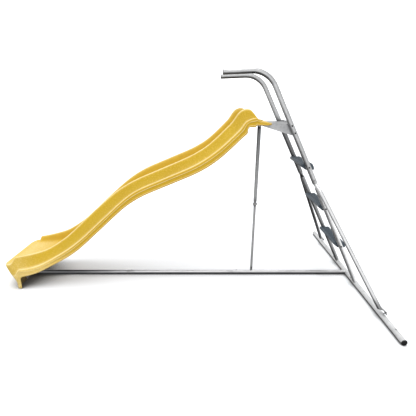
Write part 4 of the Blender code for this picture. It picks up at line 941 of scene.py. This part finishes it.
# dark studio flag under the bed: only reflections in the metal see it
bm = bmesh.new()
pairs = []
for row in chute_rows():
    c = Vector(row[0])
    pairs.append([bm.verts.new((c.x, s * 0.24, c.z - 0.02)) for s in (-1, 1)])
for p, q in zip(pairs, pairs[1:]):
    bm.faces.new((p[0], p[1], q[1], q[0]))
fm = bpy.data.meshes.new("flag")
bm.to_mesh(fm)
bm.free()
n = Nodes("studio_flag")
fm.materials.append(n.finish(n.mix(n.noise(4.0), (0.010, 0.010, 0.011), (0.020, 0.020, 0.021)), n.remap(n.noise(6.0), 0.3, 0.7, 0.85, 0.95),
                             n.bump(n.noise(40.0), 0.0005, None, 0.2), 0.0))
flag = bpy.data.objects.new("flag", fm)
bpy.context.scene.collection.objects.link(flag)
for item in ("visible_camera", "visible_diffuse", "visible_transmission", "visible_shadow", "visible_volume_scatter"):
    setattr(flag, item, False)

# ---------------------------------------------------------------- handrails with their upper stiles
def handrail_path(n_bend=26):
    x0, z0 = HAND_END
    zc = (z0 + HAND_SLOPE * (CROSS_X + STILE_LEAN * CROSS_Z - x0)) / (1.0 + HAND_SLOPE * STILE_LEAN)
    corner = Vector((stile_x(zc), 0.0, zc))
    u = (corner - Vector((x0, 0.0, z0))).normalized()
    d = -STILE_DIR
    turn = math.acos(max(-1.0, min(1.0, u.dot(d))))
    t = HAND_BEND * math.tan(turn / 2)
    start = corner - u * t
    inward = Vector((u.z, 0.0, -u.x))
    centre = start + inward * HAND_BEND
    first = Vector((x0, 0.0, z0))
    points = [first.lerp(start, i / 5) for i in range(5)]
    for i in range(n_bend + 1):
        a = turn * i / n_bend
        points.append(centre - inward * HAND_BEND * math.cos(a) + u * HAND_BEND * math.sin(a))
    end = Vector((stile_x(JOINT_Z), 0.0, JOINT_Z))
    last = points[-1]
    points += [last.lerp(end, i / 12) for i in range(1, 13)]
    return points


for side, s in (("near", -1), ("far", 1)):
    pts = [p + Vector((0, s * STILE_Y, 0)) for p in handrail_path()]
    mesh = pipe("handrail_" + side + "_tube", [(p, RAIL_R[0] - 0.00015, RAIL_R[0] - 0.00015) for p in pts], RAIL_R[0] - RAIL_R[1], 48)
    # both handrails take shaded copies, the far one with painted shade below the deck
    smooth(new_object("handrail_" + side + "_tube", mesh, M_TUBE_RAIL if s > 0 else M_TUBE_HAND, "galvanised_tube", "handrail_" + side))
    u = (pts[1] - pts[0]).normalized()
    r = RAIL_R[1] - 0.0006
    prof = [(0.0, -0.0022), (0.0120, -0.0024), (0.0150, -0.0020), (0.0163, -0.0006), (0.0178, 0.0010), (0.0192, 0.0016),
            (0.0203, 0.0012), (0.0208, 0.0), (0.0208, -0.0018), (r, -0.0020), (r, -0.0240), (r - 0.002, -0.0260), (0.0, -0.0260)]
    m = place(pts[0] - u * (0.0020 + GAP), -u)
    smooth(new_object("handrail_" + side + "_plug", lathe("plug", prof, m), M_GREY, "grey_plastic", "handrail_plug_" + side), 50)

# ---------------------------------------------------------------- brace legs
def brace_point(z, s):
    return Vector((stile_x(z) + BRACE_SHIFT, s * (BRACE_REF[1] + BRACE_SPLAY * (BRACE_REF[0] - z)), z))


def brace_path(s):
    """Centre line of a brace: spigot in the upper stile, bend outwards, straight run to the foot."""
    pts = [stile_point(JOINT_Z + SPIGOT_UP, s * STILE_Y), stile_point(JOINT_Z + 0.004, s * STILE_Y),
           stile_point(JOINT_Z - 0.010, s * STILE_Y)]
    for k in (1, 2, 3):
        z = JOINT_Z - 0.010 - 0.024 * k
        w = (0.42, 0.86, 1.0)[k - 1]
        pts.append(stile_point(z, s * STILE_Y).lerp(brace_point(z, s), w))
    return pts


def brace_mesh(s):
    """Rings of a bent tube whose lower end is pressed flat on the crossbar.

    Each ring is an oval, so the section changes from a circle to a flat tab along the
    last stretch of the tube.
    """
    pts = brace_path(s)
    foot = brace_point(0.0640, s)
    total = (foot - pts[-1]).length
    up = (pts[-1] - foot).normalized()
    flat_len = 0.038
    centres = [(p, 0.0) for p in pts]
    for d in [total * f for f in (0.12, 0.40, 0.70)] + [total - flat_len * (1 - i / 6) for i in range(7)]:
        t = max(0.0, (d - (total - flat_len)) / flat_len)
        centres.append((pts[-1] - up * d, t * t * (3 - 2 * t)))
    rings = []
    for i, (c, k) in enumerate(centres):
        p = centres[max(0, i - 1)][0]
        q = centres[min(len(centres) - 1, i + 1)][0]
        along = (p - q).normalized()
        side_dir = STILE_NORMAL.cross(along).normalized()
        r = RAIL_R[1] - 0.0006 if i < 2 else BRACE_R[0]
        half_n = r * (1 - k) + 0.0032 * k                         # half thickness across the stile plane
        half_s = r * (1 - k) + 0.0235 * k                         # half width in the stile plane
        rings.append((c + STILE_NORMAL * (k * (CROSS_R[0] + 0.0045)), along, side_dir, half_s, half_n))
    c = rings[-1][0]
    rings.append((c - up * 0.018, up, rings[-1][2], 0.0235, 0.0032))
    rings.append((c - up * 0.033, up, rings[-1][2], 0.0150, 0.0032))
    return rings, 20

for side, s in (("near", -1), ("far", 1)):
    rings, n = brace_mesh(s)
    st = []
    for i in range(len(rings) - 1):
        a, b = rings[i], rings[i + 1]
        steps = 3 if i >= 5 else 2
        for q in range(steps):
            f = q / steps
            g = (a[0].lerp(b[0], f), a[3] + (b[3] - a[3]) * f, a[4] + (b[4] - a[4]) * f)
            along = a[1].lerp(b[1], f).normalized()
            sd = STILE_NORMAL.cross(along).normalized()
            st.append((g[0], g[1], g[2], (-along, sd, -along.cross(sd))))
    a = rings[-1]
    st.append((a[0], a[3], a[4], (-a[1], a[2], -a[1].cross(a[2]))))
    # the tab's end is rounded in plan
    c, up = a[0], a[1]
    for d, w in ((0.0035, 0.62), (0.0055, 0.25)):
        st.append((c - up * (d * 0.3), a[3] * w, a[4] * 0.9, st[-1][3]))
    mesh = pipe("brace_leg_" + side + "_tube", st, BRACE_R[0] - BRACE_R[1], 44, 0.04, (True, False))
    # the far brace takes the painted-shade copy, the near brace painted shade at its foot
    smooth(new_object("brace_leg_" + side + "_tube", mesh, M_TUBE_STILE if s > 0 else M_TUBE_BRACE, "galvanised_tube", "brace_leg_" + side), 45)

# ---------------------------------------------------------------- treads
def tread_piece(name, z, half):
    """Moulded tread: ribbed top, rounded edges, webbed underside."""
    outline = []
    n = len(STEP_OUTLINE)
    for i, (x, zz, r) in enumerate(STEP_OUTLINE):
        p = Vector((x, zz))
        a = (Vector(STEP_OUTLINE[i - 1][:2]) - p).normalized()
        b = (Vector(STEP_OUTLINE[(i + 1) % n][:2]) - p).normalized()
        h = a.angle(b) / 2
        c = p + (a + b).normalized() * (r / math.sin(h))
        t0 = p + a * (r / math.tan(h)) - c
        t1 = p + b * (r / math.tan(h)) - c
        for k in range(7):
            outline.append(c + t0.lerp(t1, k / 6).normalized() * r)
        if i == 0:
            # ribs across the top, between the two upper corners
            x0, x1 = outline[-1].x + 0.004, STEP_OUTLINE[1][0] - STEP_OUTLINE[1][2] - 0.004
            ribs = 7
            for q in range(ribs):
                w = (x1 - x0) / ribs
                a0 = x0 + q * w
                for fx, dz in ((0.15, 0.0), (0.27, -0.0016), (0.73, -0.0016), (0.85, 0.0)):
                    outline.append(Vector((a0 + fx * w, zz + dz)))
    bm = bmesh.new()
    wear = attribute(bm, "wear")
    ends = []
    ys = [-half, -half + 0.0025, half - 0.0025, half]
    for j, y in enumerate(ys):
        k = 0.970 if j in (0, 3) else 1.0
        loop = []
        for p in outline:
            v = bm.verts.new((stile_x(z) + 0.003 + (p.x - 0.003) * k, y, z + p.y * k))
            corner = max(smoothstep((p.x - 0.026) / 0.012), smoothstep((-0.036 - p.x) / 0.010)) * smoothstep((p.y - 0.008) / 0.012)
            v[wear] = max(0.9 if j in (0, 3) else 0.0, corner, 0.5 if p.y > 0.0255 else 0.0)
            loop.append(v)
        ends.append(loop)
    m = len(outline)
    for p, q in zip(ends, ends[1:]):
        for i in range(m):
            j = (i + 1) % m
            bm.faces.new((p[i], p[j], q[j], q[i]))
    bm.faces.new(list(reversed(ends[0])))
    bm.faces.new(ends[-1])
    bmesh.ops.recalc_face_normals(bm, faces=bm.faces)
    mesh = bpy.data.meshes.new(name)
    bm.to_mesh(mesh)
    bm.free()
    obj = new_object(name, mesh, M_SLATE, "slate_plastic", name.replace("_tread", ""))
    w = (2 * half - 0.040 - 3 * 0.005) / 4
    pk = bmesh.new()
    for j in range(4):
        yc = -half + 0.020 + w / 2 + j * (w + 0.005)
        bmesh.ops.create_cube(pk, size=1.0, matrix=Matrix.Translation((stile_x(z) + 0.0170, yc, z - 0.0110))
                              @ Matrix.Diagonal((0.0600, w, 0.0480, 1.0)))
    pm = bpy.data.meshes.new("pockets")
    pk.to_mesh(pm)
    pk.free()
    tool = bpy.data.objects.new("pockets", pm)
    bpy.context.scene.collection.objects.link(tool)
    b = obj.modifiers.new("pockets", "BOOLEAN")
    b.operation = "DIFFERENCE"
    b.solver = "EXACT"
    b.object = tool
    bpy.context.view_layer.update()
    done = bpy.data.meshes.new_from_object(obj.evaluated_get(bpy.context.evaluated_depsgraph_get()))
    obj.modifiers.clear()
    obj.data = done
    done.materials.clear()
    done.materials.append(M_SLATE)
    bpy.data.objects.remove(tool)
    return smooth(obj, 28)


for i, nm in enumerate(("lower", "middle", "upper")):
    z = STEP_Z0 + STEP_PITCH * i
    r_out = RAIL_R[0] if z > JOINT_Z else STILE_R[0]
    tread_piece("step_%s_tread" % nm, z, STILE_Y - r_out - GAP)

# ---------------------------------------------------------------- crossbar caps
CAP_PROFILE = [(0.0, 0.0098), (0.0060, 0.0100), (0.0110, 0.0104), (0.0150, 0.0101), (0.0185, 0.0082), (0.0208, 0.0058),
               (0.0221, 0.0030), (CAP_R, 0.0010), (CAP_R, 0.0), (CROSS_R[1] - GAP, 0.0), (CROSS_R[1] - GAP, -0.030),
               (CROSS_R[1] - 0.003, -0.033), (0.0, -0.033)]
for side, s in (("near", -1), ("far", 1)):
    m = place((CROSS_X, s * (CROSS_HALF + GAP), CROSS_Z), (0, s, 0))
    smooth(new_object("crossbar_%s_cap" % side, lathe("cap", CAP_PROFILE, m, 64), M_BLACK, "black_plastic",
                      "crossbar_cap_" + side), 50)

# ---------------------------------------------------------------- straight tubes
def tube_piece(name, a, b, radii, node, segs=44, wear=0.03, stations=None, mat=None):
    st = stations or straight(a, b, radii[0])
    return smooth(new_object(name, pipe(name, st, radii[0] - radii[1], segs, wear), mat or M_TUBE, "galvanised_tube", node), 45)


SLEEVE = 0.060
tube_piece("base_rail_middle_tube", None, None, BASE_R, "base_rail_middle", stations=[
    (Vector((RAIL_JOINT_X[0], 0, CROSS_Z)).lerp(Vector((RAIL_JOINT_X[1] - 0.013, 0, CROSS_Z)), i / 12), BASE_R[0], BASE_R[0])
    for i in range(13)] + [(Vector((RAIL_JOINT_X[1] - 0.007, 0, CROSS_Z)), BASE_R[1] - GAP, BASE_R[1] - GAP),
                           (Vector((RAIL_JOINT_X[1] + SLEEVE - 0.007, 0, CROSS_Z)), BASE_R[1] - GAP, BASE_R[1] - GAP)],
           mat=M_TUBE_BASE)

strut_foot = CROSS_Z + BASE_R[0] + 0.0006
NECK_R = STRUT_LOW_R[0] + GAP + STRUT_R[0] - STRUT_R[1]
tube_piece("strut_lower_tube", Vector((STRUT_X, 0, strut_foot)), Vector((STRUT_X, 0, STRUT_JOINT_Z + 0.043)), STRUT_LOW_R,
           "strut_lower", 36, mat=M_TUBE_STRUT_LOW)
z0, z1, z2, z3 = STRUT_JOINT_Z - 0.021, STRUT_JOINT_Z + 0.029, STRUT_JOINT_Z + 0.035, DECK_TOP - DECK_T - GAP
tube_piece("strut_upper_tube", None, None, STRUT_R, "strut_upper", 40, 0.03,
           [(Vector((STRUT_X, 0, z)), r, r) for z, r in ((z0, NECK_R), (z0 + 0.02, NECK_R), (z1, NECK_R),
            (z1 + 0.0015, NECK_R + 0.0005), (z2 - 0.0015, STRUT_R[0] - 0.0004), (z2, STRUT_R[0]))]
           + [(Vector((STRUT_X, 0, z2 + (z3 - z2) * i / 12)), STRUT_R[0], STRUT_R[0]) for i in range(1, 13)], M_TUBE_STRUT)

# ---------------------------------------------------------------- floor, light and camera
n = Nodes("studio_floor")
tone = n.mix(n.noise(0.35, 3.0, 0.5), (0.93, 0.945, 0.97), (0.955, 0.97, 0.995))
# painted contact shadow: an ambient-occlusion node darkens the floor and takes away its glow close to the object
contact = n.nt.nodes.new("ShaderNodeAmbientOcclusion")
contact.samples = 12
contact.inputs["Distance"].default_value = 0.32
near = n.remap(contact.outputs["AO"], 0.30, 0.94, 0.0, 1.0)
tone = n.mix(near, (0.16, 0.16, 0.165), tone)
n.link(n.math("MULTIPLY", near, FLOOR_GLOW), n.bsdf.inputs["Emission Strength"])
floor_mat = n.finish(tone, n.remap(n.noise(3.0, 3.0, 0.5), 0.3, 0.7, 0.80, 0.90), n.bump(n.noise(60.0, 3.0, 0.5), 0.0004, None, 0.2), 0.0,
                     Specular_IOR_Level=0.2, Emission_Color=(1.0, 1.0, 1.0, 1.0))
bm = bmesh.new()
bmesh.ops.create_grid(bm, x_segments=8, y_segments=8, size=85.0)
fm = bpy.data.meshes.new("floor")
bm.to_mesh(fm)
bm.free()
fm.materials.append(floor_mat)
floor = bpy.data.objects.new("floor", fm)
floor.location = (0, 0, -0.0005)
bpy.context.scene.collection.objects.link(floor)
floor.visible_diffuse = False
floor.visible_glossy = False

# white studio backdrop round the floor, seen by the camera only
bm = bmesh.new()
bmesh.ops.create_uvsphere(bm, u_segments=48, v_segments=24, radius=90.0)
bd = bpy.data.meshes.new("backdrop")
bm.to_mesh(bd)
bm.free()
n = Nodes("studio_backdrop")
n.finish(n.mix(n.noise(0.02, 2.0, 0.5), (0.90, 0.90, 0.90), (0.94, 0.94, 0.94)), n.remap(n.noise(0.2), 0.3, 0.7, 0.8, 0.9),
         n.bump(n.noise(1.0), 0.001, None, 0.1), 0.0, Emission_Color=(1.0, 1.0, 1.0, 1.0), Emission_Strength=1.0)
bd.materials.append(n.mat)
backdrop = bpy.data.objects.new("backdrop", bd)
bpy.context.scene.collection.objects.link(backdrop)
for flag in ("visible_diffuse", "visible_glossy", "visible_transmission", "visible_shadow", "visible_volume_scatter"):
    setattr(backdrop, flag, False)

world = bpy.data.worlds.new("studio")
bpy.context.scene.world = world
world.use_nodes = True
wt = world.node_tree
bg = wt.nodes["Background"]
coord = wt.nodes.new("ShaderNodeTexCoord")
sep = wt.nodes.new("ShaderNodeSeparateXYZ")
wt.links.new(coord.outputs["Generated"], sep.inputs[0])
height = wt.nodes.new("ShaderNodeMapRange")
height.inputs["From Min"].default_value = -1.0
height.inputs["From Max"].default_value = 1.0
wt.links.new(sep.outputs["Z"], height.inputs["Value"])
ramp_node = wt.nodes.new("ShaderNodeValToRGB")
wt.links.new(height.outputs[0], ramp_node.inputs["Fac"])
els = ramp_node.color_ramp.elements
els[0].position, els[0].color = 0.0, (*LOW_SKY, 1.0)
els[1].position, els[1].color = 1.0, (*TOP_SKY, 1.0)
for pos, colour in SKY:
    e = els.new(pos)
    e.color = (*colour, 1.0)
wt.links.new(ramp_node.outputs["Color"], bg.inputs["Color"])
bg.inputs["Strength"].default_value = WORLD


def sun(name, direction, strength, angle):
    data = bpy.data.lights.new(name, "SUN")
    data.energy = strength
    data.angle = math.radians(angle)
    obj = bpy.data.objects.new(name, data)
    obj.rotation_euler = Vector(direction).to_track_quat("-Z", "Y").to_euler()
    bpy.context.scene.collection.objects.link(obj)
    return obj


sun("overhead", (0.10, 0.15, -1.0), SUN_TOP, 45.0)
sun("front", (0.25, 1.0, -0.40), SUN_FRONT, 60.0)

scene = bpy.context.scene
scene.view_settings.view_transform = "Standard"
cam = bpy.data.cameras.new("camera")
cam.sensor_width = 36.0
cam.lens = 290.3264 / 416.0 * 36.0
cam_obj = bpy.data.objects.new("camera", cam)
cam_obj.location = (0.225, -2.5976, 1.6651)
cam_obj.rotation_euler = (math.pi / 2 - 0.3485, 0.0, 0.0)
scene.collection.objects.link(cam_obj)
scene.camera = cam_obj
